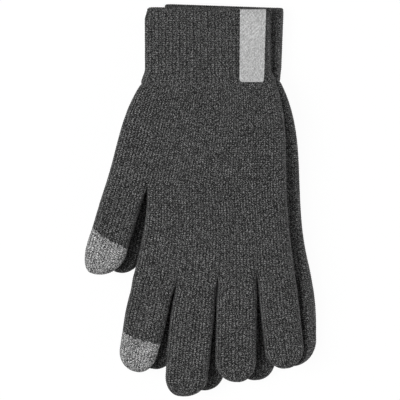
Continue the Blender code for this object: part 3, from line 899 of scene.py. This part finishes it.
def heelRings(side, inset, shares, columns):
    # the thumb's wales lie to the left of the crotch line, the palm's to its right
    lie = lies[side]
    wristLeft = np.array((-handPlan["wristWidth"] / 2, 0))
    wristRight = np.array((handPlan["wristWidth"] / 2 - lie["wristPull"], 0))
    crotch = handPlan["thumbCrotch"]
    thumbLeft = roots[side]["thumb"][0]
    palmRight = np.array((lies[side]["palmSide"], crotch[1]))
    left = outlineCurve(wristLeft, handPlan["wristLeft"], thumbLeft, handPlan["thumbLeft"], shares)
    right = outlineCurve(wristRight, lie["wristHeading"], palmRight, handPlan["palmRight"], shares)
    thumbWidth = digits["thumb"]["rootWidth"]
    share = thumbWidth / (thumbWidth + lies[side]["palmSide"] - crotch[0])
    crotchStart = wristLeft + (wristRight - wristLeft) * share
    half, reach = fabric["half"] - inset, fabric["reach"] - inset
    rings = []
    for t, a, c in zip(shares, left, right):
        b = crotchStart + (crotch - crotchStart) * t
        a = a + (b - a) / np.linalg.norm(b - a) * inset
        c = c + (b - c) / np.linalg.norm(b - c) * inset
        toCrotch = np.linalg.norm(b - a)
        width = toCrotch + np.linalg.norm(c - b)
        depth = fabric["grooveDepth"] * ease((t - 0.86) / 0.14)
        section = halfSection(width, half, reach, reach, [(toCrotch, depth)])
        crotchLength = np.interp(toCrotch, section[0], section[2])
        lengths = spaced((0, crotchLength, section[2][-1]), columns)
        rings.append(wholeRing(np.array((a, b, c)), section, lengths))
    return sagged(np.array(rings))


def fingerLine(side):
    # the corners of the finger roots, from the index finger's outer one to the little finger's
    gap = handPlan["fingerGap"] / 2
    line = [roots[side]["index"][0]]
    for name, following in zip(fingers, fingers[1:]):
        line.append(roots[side][name][1] - heading(digits[name]["slope"]) * gap)
        line.append(roots[side][following][0] + heading(digits[following]["slope"]) * gap)
    line.append(roots[side]["little"][1])
    return np.array(line)


def palmRings(side, inset, shares, columns, endColumns):
    crotch = handPlan["thumbCrotch"]
    palmRight = np.array((lies[side]["palmSide"], crotch[1]))
    line = fingerLine(side)
    steps = np.concatenate(([0], np.cumsum(np.linalg.norm(np.diff(line, axis=0), axis=1))))
    across = steps / steps[-1]
    bow = line - (line[0] + (line[-1] - line[0]) * across[:, None])
    left = outlineCurve(crotch, handPlan["crotch"], line[0], handPlan["knuckleLeft"], shares)
    right = outlineCurve(palmRight, handPlan["palmRight"], line[-1], lies[side]["littleHeading"], shares)
    half, reach = fabric["half"] - inset, fabric["reach"] - inset

    def section(t, width, gaps):
        rounding = ease(2 * t)
        grooves = [(place, fabric["grooveDepth"] * ease((t - 0.84) / 0.16)) for place in gaps]
        grooves.append((0, fabric["grooveDepth"] * (1 - ease(t / 0.16))))
        return halfSection(width, half, reach * rounding, reach, grooves)

    plans = []
    for t, a, c in zip(shares, left, right):
        row = a + (c - a) * across[:, None] + bow * ease(t)
        row[0] = row[0] + (row[1] - row[0]) / np.linalg.norm(row[1] - row[0]) * inset
        row[-1] = row[-1] + (row[-2] - row[-1]) / np.linalg.norm(row[-2] - row[-1]) * inset
        along = np.concatenate(([0], np.cumsum(np.linalg.norm(np.diff(row, axis=0), axis=1))))
        gaps = (along[1:-1:2] + along[2:-1:2]) / 2
        plans.append((row, along, section(t, along[-1], gaps)))

    # columns start evenly at the thumb crotch and end at the finger roots
    startSection = plans[0][2]
    startLengths = spaced((0, startSection[2][startSection[3]], startSection[2][-1]), columns)
    endSection, endAlong = plans[-1][2], plans[-1][1]
    corners = np.interp(endAlong[1:-1], endSection[0], endSection[2])
    endLengths = spaced((0, *corners, endSection[2][-1]), endColumns)
    startShares = startLengths / startLengths[-1]
    endShares = endLengths / endLengths[-1]
    rings = []
    for t, (row, along, cut) in zip(shares, plans):
        lengths = (startShares + (endShares - startShares) * ease(t)) * cut[2][-1]
        rings.append(wholeRing(row, cut, lengths))
    return sagged(np.array(rings))


def crotchPosts(side, name, origin, material):
    # the few stitches that close the hand between two finger openings
    line = fingerLine(side)
    points, faces = [], []
    height = fabric["half"] - fabric["grooveDepth"] * 0.9
    for left, right in zip(line[1:-1:2], line[2:-1:2]):
        middle = (left + right) / 2
        start = len(points)
        for z in np.linspace(-height, height, 9):
            for turn in np.arange(8) * math.pi / 4:
                points.append((
                    middle[0] + 0.55 * mm * math.cos(turn), middle[1] + 0.2 * mm + 0.7 * mm * math.sin(turn), z
                ))
        for level in range(8):
            for i in range(8):
                a, b = start + level * 8 + i, start + level * 8 + (i + 1) % 8
                faces.append((a, b, b + 8, a + 8))
    caps = []
    for start in range(0, len(points), 72):
        caps.append(list(range(start + 7, start - 1, -1)))
        caps.append(list(range(start + 64, start + 72)))
    posts = addMesh(name, np.array(points) + origin, [np.array(faces), np.array(caps)])
    settle(posts.data)
    addAttribute(posts, "yarnPlace", "FLOAT_VECTOR", np.array(points))
    posts.data.materials.append(material)
    return posts


def makeHand(side, origin, material):
    wide, tall = jersey["columns"], jersey["rows"]
    flank = handPlan["sideColumns"]
    thumbColumns = digits["thumb"]["wales"] * wide + flank
    fingerColumns = [digits[name]["wales"] * wide for name in fingers]
    palmColumns = sum(fingerColumns) + wide * (len(fingers) - 1) + flank
    endColumns = [fingerColumns[0] + flank, wide, fingerColumns[1], wide, fingerColumns[2], wide]
    endColumns.append(fingerColumns[3] + flank)
    pieces = []
    courses = round(62 * mm / jersey["course"])
    outer = heelRings(side, jersey["relief"], np.linspace(0, 1, courses * tall + 1), (thumbColumns, palmColumns))
    inner = heelRings(side, fabric["wall"], np.linspace(0, 1, courses + 1), (thumbColumns, palmColumns))[:, ::2]
    mask = ease(np.arange(len(outer)) / tall)
    pieces.append(knitTube(side + "HandHeel", outer + origin, inner + origin, material, mask=mask))
    courses = round(53 * mm / jersey["course"])
    outer = palmRings(side, jersey["relief"], np.linspace(0, 1, courses * tall + 1), (flank, palmColumns), endColumns)
    inner = palmRings(side, fabric["wall"], np.linspace(0, 1, courses + 1), (flank, palmColumns), endColumns)[:, ::2]
    pieces.append(knitTube(side + "HandPalm", outer + origin, inner + origin, material))
    pieces.append(crotchPosts(side, side + "HandCrotches", origin, material))
    for piece in pieces:
        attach(piece, side + "_glove")
        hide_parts(side + "_hand")
    return pieces


# Digits: square where they leave the hand, then round, with a dome at the tip

digitShape = {
    "rounding": 14 * mm,  # over which a square side becomes round
    "domeEnd": 84,  # last angle of the dome, in degrees
    "bend": 24 * mm,  # over which a digit turns at its root
}


def digitFrame(name, side):
    digit = pulledDigit(side, name)
    axis = heading(digit["lean"] - 90)
    along = heading(digit["slope"])
    gapLeft = 0 if name in ("thumb", "index") else handPlan["fingerGap"] / 2
    gapRight = {"thumb": handPlan["thumbGap"], "little": 0}.get(name, handPlan["fingerGap"] / 2)
    left = roots[side][name][0] + along * gapLeft
    right = roots[side][name][1] - along * gapRight
    return digit, axis, left, right, gapLeft, gapRight


def digitStations(digit, stitchHeight):
    # places along a digit, with the dome's given as angles, an even course apart
    dome = digit["dome"]
    straight = digit["length"] - dome
    body = np.linspace(0, straight, round(straight / stitchHeight) + 1)
    arc = (dome + digit["width"] / 2) / 2 * math.radians(digitShape["domeEnd"])
    steps = round(arc / stitchHeight)
    angles = np.linspace(0, math.radians(digitShape["domeEnd"]), steps + 1)[1:]
    return body, angles


def digitRings(name, side, inset, stations, columns):
    digit, axis, left, right, gapLeft, gapRight = digitFrame(name, side)
    lean = digit["lean"]
    rootWidth = np.linalg.norm(right - left)
    middle = (left + right) / 2
    dome = digit["dome"]
    straight = digit["length"] - dome
    domeReach = dome - inset
    capStart = digit["length"] - (digit["cap"] or digit["length"] / 2)
    bowLeft, bowRight = lies[side]["bowed"].get(name, (0, 0))
    tipAside = lies[side]["tipAside"].get(name, 0)
    puff = lies[side]["puffed"].get(name, 0)
    rings = []
    for distance, angle in stations:
        share = math.cos(angle)
        if angle:
            distance = straight + domeReach * math.sin(angle) / math.sin(math.radians(digitShape["domeEnd"]))
        toCap = ease(distance / capStart)
        toTip = ease((distance - capStart) / (straight - capStart))
        joined = digit["slope"] + (lean + digit["capTilt"] - digit["slope"]) * toCap
        across = heading(joined + (lean - joined) * toTip)
        rounding = ease(distance / digitShape["rounding"])
        insetLeft = inset if gapLeft == 0 else inset * rounding
        insetRight = inset if name == "little" else inset * rounding
        width = rootWidth + (digit["width"] - rootWidth) * rounding
        centre = middle + axis * distance + across * tipAside * (1 - share)
        bow = math.sin(math.pi * min(1, distance / straight))
        a = centre - across * (width / 2 - insetLeft + bowLeft * bow) * share
        c = centre + across * (width / 2 - insetRight + bowRight * bow) * share
        half = (fabric["half"] - inset) * share
        reach = (fabric["reach"] - inset) * share
        roundLeft = 1.0 if gapLeft == 0 else rounding
        roundRight = 1.0 if name == "little" else rounding
        # the cap's line bends back towards the hand on the thumb side
        bend = digit.get("capBend", 0) * toCap * (1 - toTip)
        shares = np.array((0, 0.1, 0.2, 0.3, 0.4, 1))[:, None]
        line = a + (c - a) * shares - axis * bend * np.clip(1 - shares / 0.4, 0, 1) ** 2
        span = np.linalg.norm(np.diff(line, axis=0), axis=1).sum()
        depth = fabric["grooveDepth"] * (1 - rounding)
        grooves = []
        if gapLeft:
            grooves.append((-gapLeft, depth))
        if gapRight:
            grooves.append((span + gapRight, depth))
        section = halfSection(span, half, reach * roundLeft, reach * roundRight, grooves)
        total = section[2][-1]
        keys = [0.0]
        if gapLeft:
            keys.append(section[2][section[3]])
        if gapRight:
            keys.append(section[2][-1 - section[3]])
        keys.append(total)
        atRoot = spaced(keys, columns)
        even = np.linspace(0, total, len(atRoot))
        ring = wholeRing(line, section, atRoot + (even - atRoot) * rounding)
        # the side that the other glove doesn't press on stands up
        q = (ring[:, :2] - a) @ (c - a) / (c - a).dot(c - a)
        free = ease((q - 0.5) / 0.26) * ease((1 - q) / 0.25) * (ring[:, 2] > 0)
        ring[:, 2] += free * puff * ease(distance / (18 * mm)) * share
        rings.append(ring)
    return sagged(np.array(rings))


def rootColumns(name):
    wide, flank = jersey["columns"], handPlan["sideColumns"]
    face = digits[name]["wales"] * wide
    if name in ("thumb", "index"):
        return [flank + face, flank]
    if name == "little":
        return [flank, face + flank]
    return [flank, face, flank]


def makeDigit(side, name, origin, knit, conductive):
    digit, axis, left, right, _, _ = digitFrame(name, side)
    columns = rootColumns(name)

    def stationsAt(stitchHeight):
        body, angles = digitStations(digit, stitchHeight)
        return [(distance, 0.0) for distance in body] + [(0.0, angle) for angle in angles]

    coarse = stationsAt(jersey["course"])
    fine = []
    for (distance, angle), (nextDistance, nextAngle) in zip(coarse, coarse[1:]):
        ended = nextAngle > 0
        for step in range(jersey["rows"]):
            share = step / jersey["rows"]
            fine.append((
                distance if ended else distance + (nextDistance - distance) * share,
                angle + (nextAngle - angle) * share,
            ))
    fine.append(coarse[-1])
    outer = digitRings(name, side, jersey["relief"], fine, columns)
    inner = digitRings(name, side, fabric["wall"], coarse, columns)[:, ::2]
    body = side + "_" + name
    pieces = []
    if digit["cap"]:
        split = next(i for i, (distance, angle) in enumerate(coarse) if distance >= digit["length"] - digit["cap"])
        cut = split * jersey["rows"]
        pieces.append(knitTube(side + name.title() + "Tube", outer[: cut + 1] + origin, inner[: split + 1] + origin, knit))
        cap = knitTube(side + name.title() + "Cap", outer[cut:] + origin, inner[split:] + origin, conductive, closed=True)
        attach(cap, body)
        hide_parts(body + "_tip")
        pieces.append(cap)
    else:
        pieces.append(knitTube(side + name.title() + "Tube", outer + origin, inner + origin, knit, closed=True))
    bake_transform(pieces[0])
    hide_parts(body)
    return pieces


# Cuff: one knit and one purl wale to each rib

cuff = {
    "width": 76.8 * mm,
    "length": 45.6 * mm,
    "flare": 9.5 * mm,
    "ribs": 19,  # on each face
    "ribDepth": 0.55 * mm,
    "ribFade": 9 * mm,  # over which the ribs die away into the hand
    "reach": 8 * mm,  # how far in a side rounds over
    "edge": 2.2 * mm,  # width of the braided edge
    "beads": 128,
    "lip": 5.4 * mm,  # over which the mouth's edge curls down
    "lipRadius": 7 * mm,
    "pucker": 0.7 * mm,  # where the label draws the upper face in along its left side
}


def lipDrop(distance):
    into = np.maximum(0, np.asarray(distance) - cuff["length"] + cuff["lip"])
    return cuff["lipRadius"] - np.sqrt(cuff["lipRadius"] ** 2 - np.minimum(into, 0.9 * cuff["lipRadius"]) ** 2)


def cuffRings(side, inset, distances):
    rings = []
    lie = lies[side]
    count = cuff["ribs"] * 2 * jersey["columns"]
    halfWrist, halfMouth = handPlan["wristWidth"] / 2, cuff["width"] / 2
    for distance in distances:
        reach = fabric["reach"] - inset + (cuff["reach"] - fabric["reach"]) * ease(distance / cuff["flare"])
        half = fabric["half"] - inset - lipDrop(distance)
        flare, upCuff = ease(distance / cuff["flare"]), distance / cuff["length"]
        left = -halfWrist + (halfWrist - halfMouth) * flare + lie["mouthPull"] * upCuff
        right = halfWrist - lie["wristPull"] + (halfMouth - halfWrist + lie["wristPull"]) * flare
        right += lie["mouthOpen"] * (upCuff - 0.65) * flare
        rise = distance + lie["mouthRise"] * upCuff
        line = np.array(((left + inset, rise), (right - inset, rise - lie["mouthDrop"] * upCuff)))
        section = halfSection(np.linalg.norm(line[1] - line[0]), half, reach, reach)
        ring = wholeRing(line, section, np.linspace(0, section[2][-1], count + 1))
        fall = lie["corner"] * ease(1 - (cuff["length"] - distance) / (8 * mm))
        side1 = 1 - np.abs(ring[:, 2]) / half
        thumbSide = ring[:, 0] < 0
        ring[:, 1] -= fall * np.where(thumbSide, side1 ** 2, side1 ** 5)
        if side == "left":
            ring[:, 0] += np.where(thumbSide, 0.7 * fall * side1, 0)
        if side == "left":
            beside = cuff["width"] / 2 - label["inset"] - label["width"] / 2 - 1.6 * mm
            fold = cuff["pucker"] * np.exp(-(((ring[:, 0] - beside) / (1.7 * mm)) ** 2))
            ring[:, 2] -= np.where(ring[:, 2] > 0, fold * ease((distance - 2 * mm) / (8 * mm)), 0)
        # the lower cuff's springy side fold stands up, and the upper cuff's lies down on it
        across = (ring[:, 0] - left) / (right - left)
        stands = lie["cuffPuff"] * ease((across - 0.925) / 0.05) * (ring[:, 2] > 0)
        ring[:, 2] *= 1 + stands * flare
        ring[:, 2] = (ring[:, 2] + half) * (1 - lie["cuffDroop"] * flare * ease((across - 0.945) / 0.05)) - half
        rings.append(ring)
    return np.array(rings)


def makeCuff(side, origin, material):
    mouth = cuff["length"] - cuff["edge"] * 0.75
    courses = round(mouth / jersey["course"])
    distances = np.linspace(mouth, 0, courses * jersey["rows"] + 1)
    outer = cuffRings(side, jersey["relief"], distances)
    inner = cuffRings(side, fabric["wall"], distances[:: jersey["rows"]])
    wave = 0.5 - 0.5 * np.cos((np.arange(inner.shape[1]) / (2 * jersey["columns"]) - 0.25) * 2 * math.pi)
    inner[..., 2] -= np.sign(inner[..., 2]) * wave * np.minimum(cuff["ribDepth"], np.abs(inner[..., 2])) * 0.6
    flank = np.abs(outer[..., 2]) / np.abs(outer[..., 2]).max(axis=1, keepdims=True)
    ribs = ease(distances / cuff["ribFade"])[:, None] * ease(1.3 * flank)
    mask = ease(distances / jersey["course"])
    piece = knitTube(side + "CuffRib", outer + origin, inner + origin, material, ribs=ribs, mask=mask)
    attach(piece, side + "_glove")
    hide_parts(side + "_cuff")
    return piece


# Rows of small yarn beads along a path: the braided edge of a cuff


def makeBeadTree():
    tree = bpy.data.node_groups.new("beadRow", "GeometryNodeTree")
    face = tree.interface
    face.new_socket("Geometry", in_out="INPUT", socket_type="NodeSocketGeometry")
    face.new_socket("Count", in_out="INPUT", socket_type="NodeSocketInt")
    for name in ("Bead Length", "Bead Width", "Tilt"):
        face.new_socket(name, in_out="INPUT", socket_type="NodeSocketFloat")
    face.new_socket("Material", in_out="INPUT", socket_type="NodeSocketMaterial")
    face.new_socket("Geometry", in_out="OUTPUT", socket_type="NodeSocketGeometry")
    given = addNode(tree, "NodeGroupInput")
    result = addNode(tree, "NodeGroupOutput")
    link = tree.links.new
    path = addNode(tree, "GeometryNodeMeshToCurve")
    link(given.outputs["Geometry"], path.inputs["Mesh"])
    spread = addNode(tree, "GeometryNodeResampleCurve")
    link(path.outputs[0], spread.inputs["Curve"])
    link(given.outputs["Count"], spread.inputs["Count"])
    points = addNode(tree, "GeometryNodeCurveToPoints", mode="EVALUATED")
    link(spread.outputs[0], points.inputs["Curve"])
    ball = addNode(tree, "GeometryNodeMeshUVSphere")
    ball.inputs["Segments"].default_value = 6
    ball.inputs["Rings"].default_value = 6
    ball.inputs["Radius"].default_value = 0.5
    size = addNode(tree, "ShaderNodeCombineXYZ")
    link(given.outputs["Bead Width"], size.inputs["X"])
    link(given.outputs["Bead Width"], size.inputs["Y"])
    link(given.outputs["Bead Length"], size.inputs["Z"])
    tilt = addNode(tree, "ShaderNodeCombineXYZ")
    link(given.outputs["Tilt"], tilt.inputs["X"])
    shaped = addNode(tree, "GeometryNodeTransform")
    link(ball.outputs["Mesh"], shaped.inputs["Geometry"])
    link(size.outputs[0], shaped.inputs["Scale"])
    link(tilt.outputs[0], shaped.inputs["Rotation"])
    smooth = addNode(tree, "GeometryNodeSetShadeSmooth")
    link(shaped.outputs[0], smooth.inputs["Geometry"])
    placed = addNode(tree, "GeometryNodeInstanceOnPoints")
    link(points.outputs["Points"], placed.inputs["Points"])
    link(smooth.outputs[0], placed.inputs["Instance"])
    link(points.outputs["Rotation"], placed.inputs["Rotation"])
    solid = addNode(tree, "GeometryNodeRealizeInstances")
    link(placed.outputs[0], solid.inputs[0])
    finished = addNode(tree, "GeometryNodeSetMaterial")
    link(solid.outputs[0], finished.inputs["Geometry"])
    link(given.outputs["Material"], finished.inputs["Material"])
    link(finished.outputs[0], result.inputs[0])
    return tree


beadTree = makeBeadTree()


def beadRow(name, points, loops, values):
    mesh = bpy.data.meshes.new(name)
    edges = [(i, i + 1) for i in range(len(points) - 1)]
    if loops:
        edges.append((len(points) - 1, 0))
    mesh.from_pydata([tuple(p) for p in points], edges, [])
    source = bpy.data.objects.new(name, mesh)
    bpy.context.scene.collection.objects.link(source)
    piece = bake(source, name, beadTree, values)
    places = np.empty(len(piece.data.vertices) * 3, np.float32)
    piece.data.vertices.foreach_get("co", places)
    addAttribute(piece, "yarnPlace", "FLOAT_VECTOR", places)
    return piece


def joinMeshes(name, parts):
    with bpy.context.temp_override(active_object=parts[0], selected_editable_objects=parts):
        bpy.ops.object.join()
    parts[0].name = name
    return parts[0]


def makeCuffEdge(side, origin, material):
    rows = []
    for number, (place, tilt) in enumerate(((0.3, 0.6), (0.72, -0.6))):
        distance = cuff["length"] - cuff["edge"] * (1 - place)
        ring = cuffRings(side, fabric["wall"] * 0.55, [distance])[0]
        rows.append(beadRow(f"{side}Edge{number}", ring + origin, True, {
            "Count": cuff["beads"],
            "Bead Length": 2.1 * mm,
            "Bead Width": 1.3 * mm,
            "Tilt": tilt,
            "Material": material,
        }))
    piece = joinMeshes(side + "CuffBraid", rows)
    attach(piece, side + "_glove")
    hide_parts(side + "_cuff_edge")
    return piece


# Label: a woven strip folded over the edge of the cuff, sewn down along its lower end

label = {
    "width": 15.6 * mm,
    "taper": 0.9 * mm,  # narrower at the lower end
    "aside": 0.24 * mm,  # at the fold, and how much further to the left at the lower end
    "lean": 0.68 * mm,
    "length": 44.4 * mm,
    "tuck": 7 * mm,  # folded inside
    "inset": 11.9 * mm,  # from the cuff's side to the middle
    "thickness": 0.42 * mm,
    "columns": 64,
    "step": 0.4 * mm,
    "selvedge": 0.9 * mm,
    "stitches": 12,
}
labelWeave = {
    "tone": 0.53,
    "twill": 2.4 * mm,  # across one diagonal of the weave
    "thread": 0.3 * mm,
    "float": 0.75 * mm,  # length of thread that shows at a time
    "step": 0.382,  # of a float, from one thread to the next
    "grain": 0.38,
    "slub": 4 * mm,
}


def makeLabelMaterial():
    # satin weave in the strip's own map, which is in metres
    material, tree, shader = principled("labelSatin")
    link = tree.links.new
    place = addNode(tree, "ShaderNodeUVMap", uv_map="strip")
    twill = addNode(tree, "ShaderNodeTexWave", wave_type="BANDS", bands_direction="DIAGONAL")
    twill.inputs["Scale"].default_value = math.pi / 5 / labelWeave["twill"]
    twill.inputs["Distortion"].default_value = 1.0
    twill.inputs["Detail Scale"].default_value = 1.5
    turned = addNode(tree, "ShaderNodeVectorMath", operation="MULTIPLY")
    turned.inputs[1].default_value = (-1, 1, 1)
    link(place.outputs["UV"], turned.inputs[0])
    link(turned.outputs[0], twill.inputs["Vector"])

    # floats of the satin: each thread's lie a little further along than those of the thread beside it
    maths = mathsIn(tree)
    parts = addNode(tree, "ShaderNodeSeparateXYZ")
    link(place.outputs["UV"], parts.inputs[0])
    across = maths("DIVIDE", parts.outputs["X"], labelWeave["thread"])
    thread = maths("FLOOR", across)
    along = maths("MULTIPLY_ADD", thread, labelWeave["step"], maths("DIVIDE", parts.outputs["Y"], labelWeave["float"]))
    cell = addNode(tree, "ShaderNodeCombineXYZ")
    link(thread, cell.inputs["X"])
    link(maths("FLOOR", along), cell.inputs["Y"])
    grain = addNode(tree, "ShaderNodeTexWhiteNoise", noise_dimensions="2D")
    link(cell.outputs[0], grain.inputs["Vector"])
    side = maths("MULTIPLY_ADD", maths("FRACT", across), 2.0, -1.0)
    end = maths("MULTIPLY_ADD", maths("FRACT", along), 2.0, -1.0)
    rounded = maths("SUBTRACT", 1.0, maths("MULTIPLY", side, side))
    rounded = maths("MULTIPLY", rounded, maths("SUBTRACT", 1.0, maths("POWER", maths("ABSOLUTE", end), 4.0)))
    soft = addNode(tree, "ShaderNodeTexNoise")
    soft.inputs["Scale"].default_value = 1 / labelWeave["slub"]
    link(place.outputs["UV"], soft.inputs["Vector"])
    edge = addNode(tree, "ShaderNodeAttribute", attribute_name="selvedge")

    def ranged(source, low, high, start=0.0, stop=1.0):
        node = addNode(tree, "ShaderNodeMapRange")
        node.inputs["From Min"].default_value = start
        node.inputs["From Max"].default_value = stop
        node.inputs["To Min"].default_value = low
        node.inputs["To Max"].default_value = high
        link(source, node.inputs["Value"])
        return node.outputs["Result"]

    def times(a, b):
        node = addNode(tree, "ShaderNodeMath", operation="MULTIPLY")
        link(a, node.inputs[0])
        link(b, node.inputs[1])
        return node.outputs[0]

    tone = ranged(twill.outputs["Fac"], 0.93 * labelWeave["tone"], 1.07 * labelWeave["tone"])
    tone = times(tone, ranged(grain.outputs["Value"], 1 - labelWeave["grain"], 1 + labelWeave["grain"]))
    # painted shade: each float is drawn darker at its sides and ends, where it rounds down, and lighter along its top
    tone = times(tone, ranged(rounded, 0.82, 1.16))
    tone = times(tone, ranged(soft.outputs["Fac"], 0.96, 1.04, 0.3, 0.7))
    tone = times(tone, ranged(edge.outputs["Fac"], 1.0, 1.07))
    grey = addNode(tree, "ShaderNodeCombineColor")
    for channel in range(3):
        link(tone, grey.inputs[channel])
    link(grey.outputs[0], shader.inputs["Base Color"])
    bump = addNode(tree, "ShaderNodeBump")
    bump.inputs["Strength"].default_value = 0.25
    bump.inputs["Distance"].default_value = 0.08 * mm
    link(rounded, bump.inputs["Height"])
    link(bump.outputs["Normal"], shader.inputs["Normal"])
    link(ranged(twill.outputs["Fac"], 0.62, 0.48), shader.inputs["Roughness"])
    shader.inputs["Sheen Weight"].default_value = 0.1
    return material


def labelPath():
    # (place up the cuff, height) of the strip's middle line, from its lower end, over the edge, to its tucked end
    over = label["thickness"] / 2 + 0.12 * mm
    visible = np.arange(cuff["length"] - label["length"], cuff["length"] - 0.9 * mm, label["step"])
    top = fabric["half"] - lipDrop(visible) + over
    turn = fabric["wall"] / 2 + over + 0.15 * mm
    slope = math.atan2(top[-1] - top[-2], visible[-1] - visible[-2])
    centre = np.array((visible[-1] + turn * math.sin(slope), top[-1] - turn * math.cos(slope)))
    angles = np.linspace(math.pi / 2 + slope, slope - math.pi / 2, 14)[1:]
    bend = centre + turn * np.column_stack((np.cos(angles), np.sin(angles)))
    back = -np.array((math.cos(slope), math.sin(slope)))
    steps = np.arange(label["step"], label["tuck"], label["step"])[:, None]
    flat = np.array((-1.0, 0.0))
    inside = bend[-1] + back * np.minimum(steps, 2 * mm) + flat * np.maximum(0, steps - 2 * mm)
    return np.concatenate((np.column_stack((visible, top)), bend, inside))


def makeLabel(origin):
    path = labelPath()
    lengths = np.concatenate(([0], np.cumsum(np.linalg.norm(np.diff(path, axis=0), axis=1))))
    rows = round(lengths[-1] / label["step"])
    travel = np.linspace(0, lengths[-1], rows + 1)
    place = np.interp(travel, lengths, path[:, 0])
    height = np.interp(travel, lengths, path[:, 1])
    tangent = np.column_stack((np.gradient(place), np.gradient(height)))
    tangent /= np.linalg.norm(tangent, axis=1)[:, None]
    normal = np.column_stack((-tangent[:, 1], tangent[:, 0]))
    middle = cuff["width"] / 2 - label["inset"]
    share = np.linspace(-1, 1, label["columns"] + 1)
    # the sides draw in towards the lower end, whose corners are a little round
    low = 1 - np.clip(travel / label["length"], 0, 1)
    corner = 1.3 * mm * (1 - np.sqrt(1 - (1 - np.clip(travel / (1.7 * mm), 0, 1)) ** 2))
    waver = 0.08 * mm * np.sin(travel / mm * 1.9) + 0.05 * mm * np.sin(travel / mm * 4.3 + 1)
    aside = label["aside"] - label["lean"] * low
    left = aside - label["width"] / 2 + 0.3 * label["taper"] * low + corner + waver
    right = aside + label["width"] / 2 - 0.7 * label["taper"] * low - corner - np.roll(waver, 7)
    x = middle + (left + right)[:, None] / 2 + (right - left)[:, None] / 2 * share
    side = (1 - np.abs(share)) * label["width"] / 2
    selvedge = 1 - ease(side / label["selvedge"])
    # a scalloped lower end, slight buckles, and thick selvedges
    scallop = 0.16 * mm * np.abs(np.sin(share * math.pi / 2 * label["stitches"]))
    end = (1 - ease(travel / (1.5 * mm)))[:, None] * scallop
    buckle = 0.10 * mm * np.sin(x / mm * 0.9 + 1) * np.sin(travel / mm * 0.33 + 0.4)[:, None]
    buckle += 0.05 * mm * selvedge - 0.16 * mm * np.exp(-((travel / mm - 1.6) / 0.5) ** 2)[:, None]
    buckle *= ease((label["length"] - travel) / (6 * mm))[:, None]
    faces = []
    for level in (0.5, -0.5):
        lift = level * label["thickness"] + buckle
        y = place[:, None] + normal[:, 0, None] * lift - end
        z = height[:, None] + normal[:, 1, None] * lift
        faces.append(np.stack((x, y, z), axis=-1))
    upper, under = faces
    count = upper.shape[0] * upper.shape[1]
    out = np.arange(count).reshape(upper.shape[:2])
    back = out + count

    def quads(a, b, c, d):
        return np.stack((a, b, c, d), axis=-1).reshape(-1, 4)

    shell = [
        quads(out[:-1, :-1], out[:-1, 1:], out[1:, 1:], out[1:, :-1]),
        quads(back[1:, :-1], back[1:, 1:], back[:-1, 1:], back[:-1, :-1]),
        quads(out[:-1, 0], out[1:, 0], back[1:, 0], back[:-1, 0]),
        quads(back[:-1, -1], back[1:, -1], out[1:, -1], out[:-1, -1]),
        quads(back[0, :-1], back[0, 1:], out[0, 1:], out[0, :-1]),
        quads(out[-1, :-1], out[-1, 1:], back[-1, 1:], back[-1, :-1]),
    ]
    points = np.concatenate((upper.reshape(-1, 3), under.reshape(-1, 3))) + origin
    strip = addMesh("cuffLabelStrip", points, shell)
    settle(strip.data)
    strip.data.materials.append(makeLabelMaterial())
    addAttribute(strip, "selvedge", "FLOAT", np.tile(np.tile(selvedge, rows + 1), 2))
    flat = np.stack((x - middle, np.repeat(travel[:, None], x.shape[1], axis=1)), axis=-1).reshape(-1, 2)
    flat = np.concatenate((flat, flat))
    corners = np.empty(len(strip.data.loops), np.int32)
    strip.data.loops.foreach_get("vertex_index", corners)
    strip.data.uv_layers.new(name="strip")
    strip.data.uv_layers["strip"].uv.foreach_set("vector", flat[corners].astype(np.float32).ravel())
    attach(strip, "left_glove")
    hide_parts("cuff_label")
    lying = np.column_stack((path[:, 0], settledHeight(path[:, 0] + origin[1], path[:, 1] + origin[2])))
    return strip


def gloveOrigin(side):
    low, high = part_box(side + "_cuff_edge")
    return np.array((high.x - cuff["width"] / 2, high.y - cuff["length"], (low.z + high.z) / 2))


gloves = {
    "left": {"cap": "greyConductiveKnit"},
    "right": {"cap": "charcoalConductiveKnit"},
}
for side, glove in gloves.items():
    origin = gloveOrigin(side)
    makeHand(side, origin, finish["charcoalKnit"])
    makeCuff(side, origin, finish["charcoalKnit"])
    makeCuffEdge(side, origin, finish["edgeYarn"])
    for name in digits:
        makeDigit(side, name, origin, finish["charcoalKnit"], finish[glove["cap"]])
    print(side, "glove knitted")
makeLabel(gloveOrigin("left"))
print("label folded")
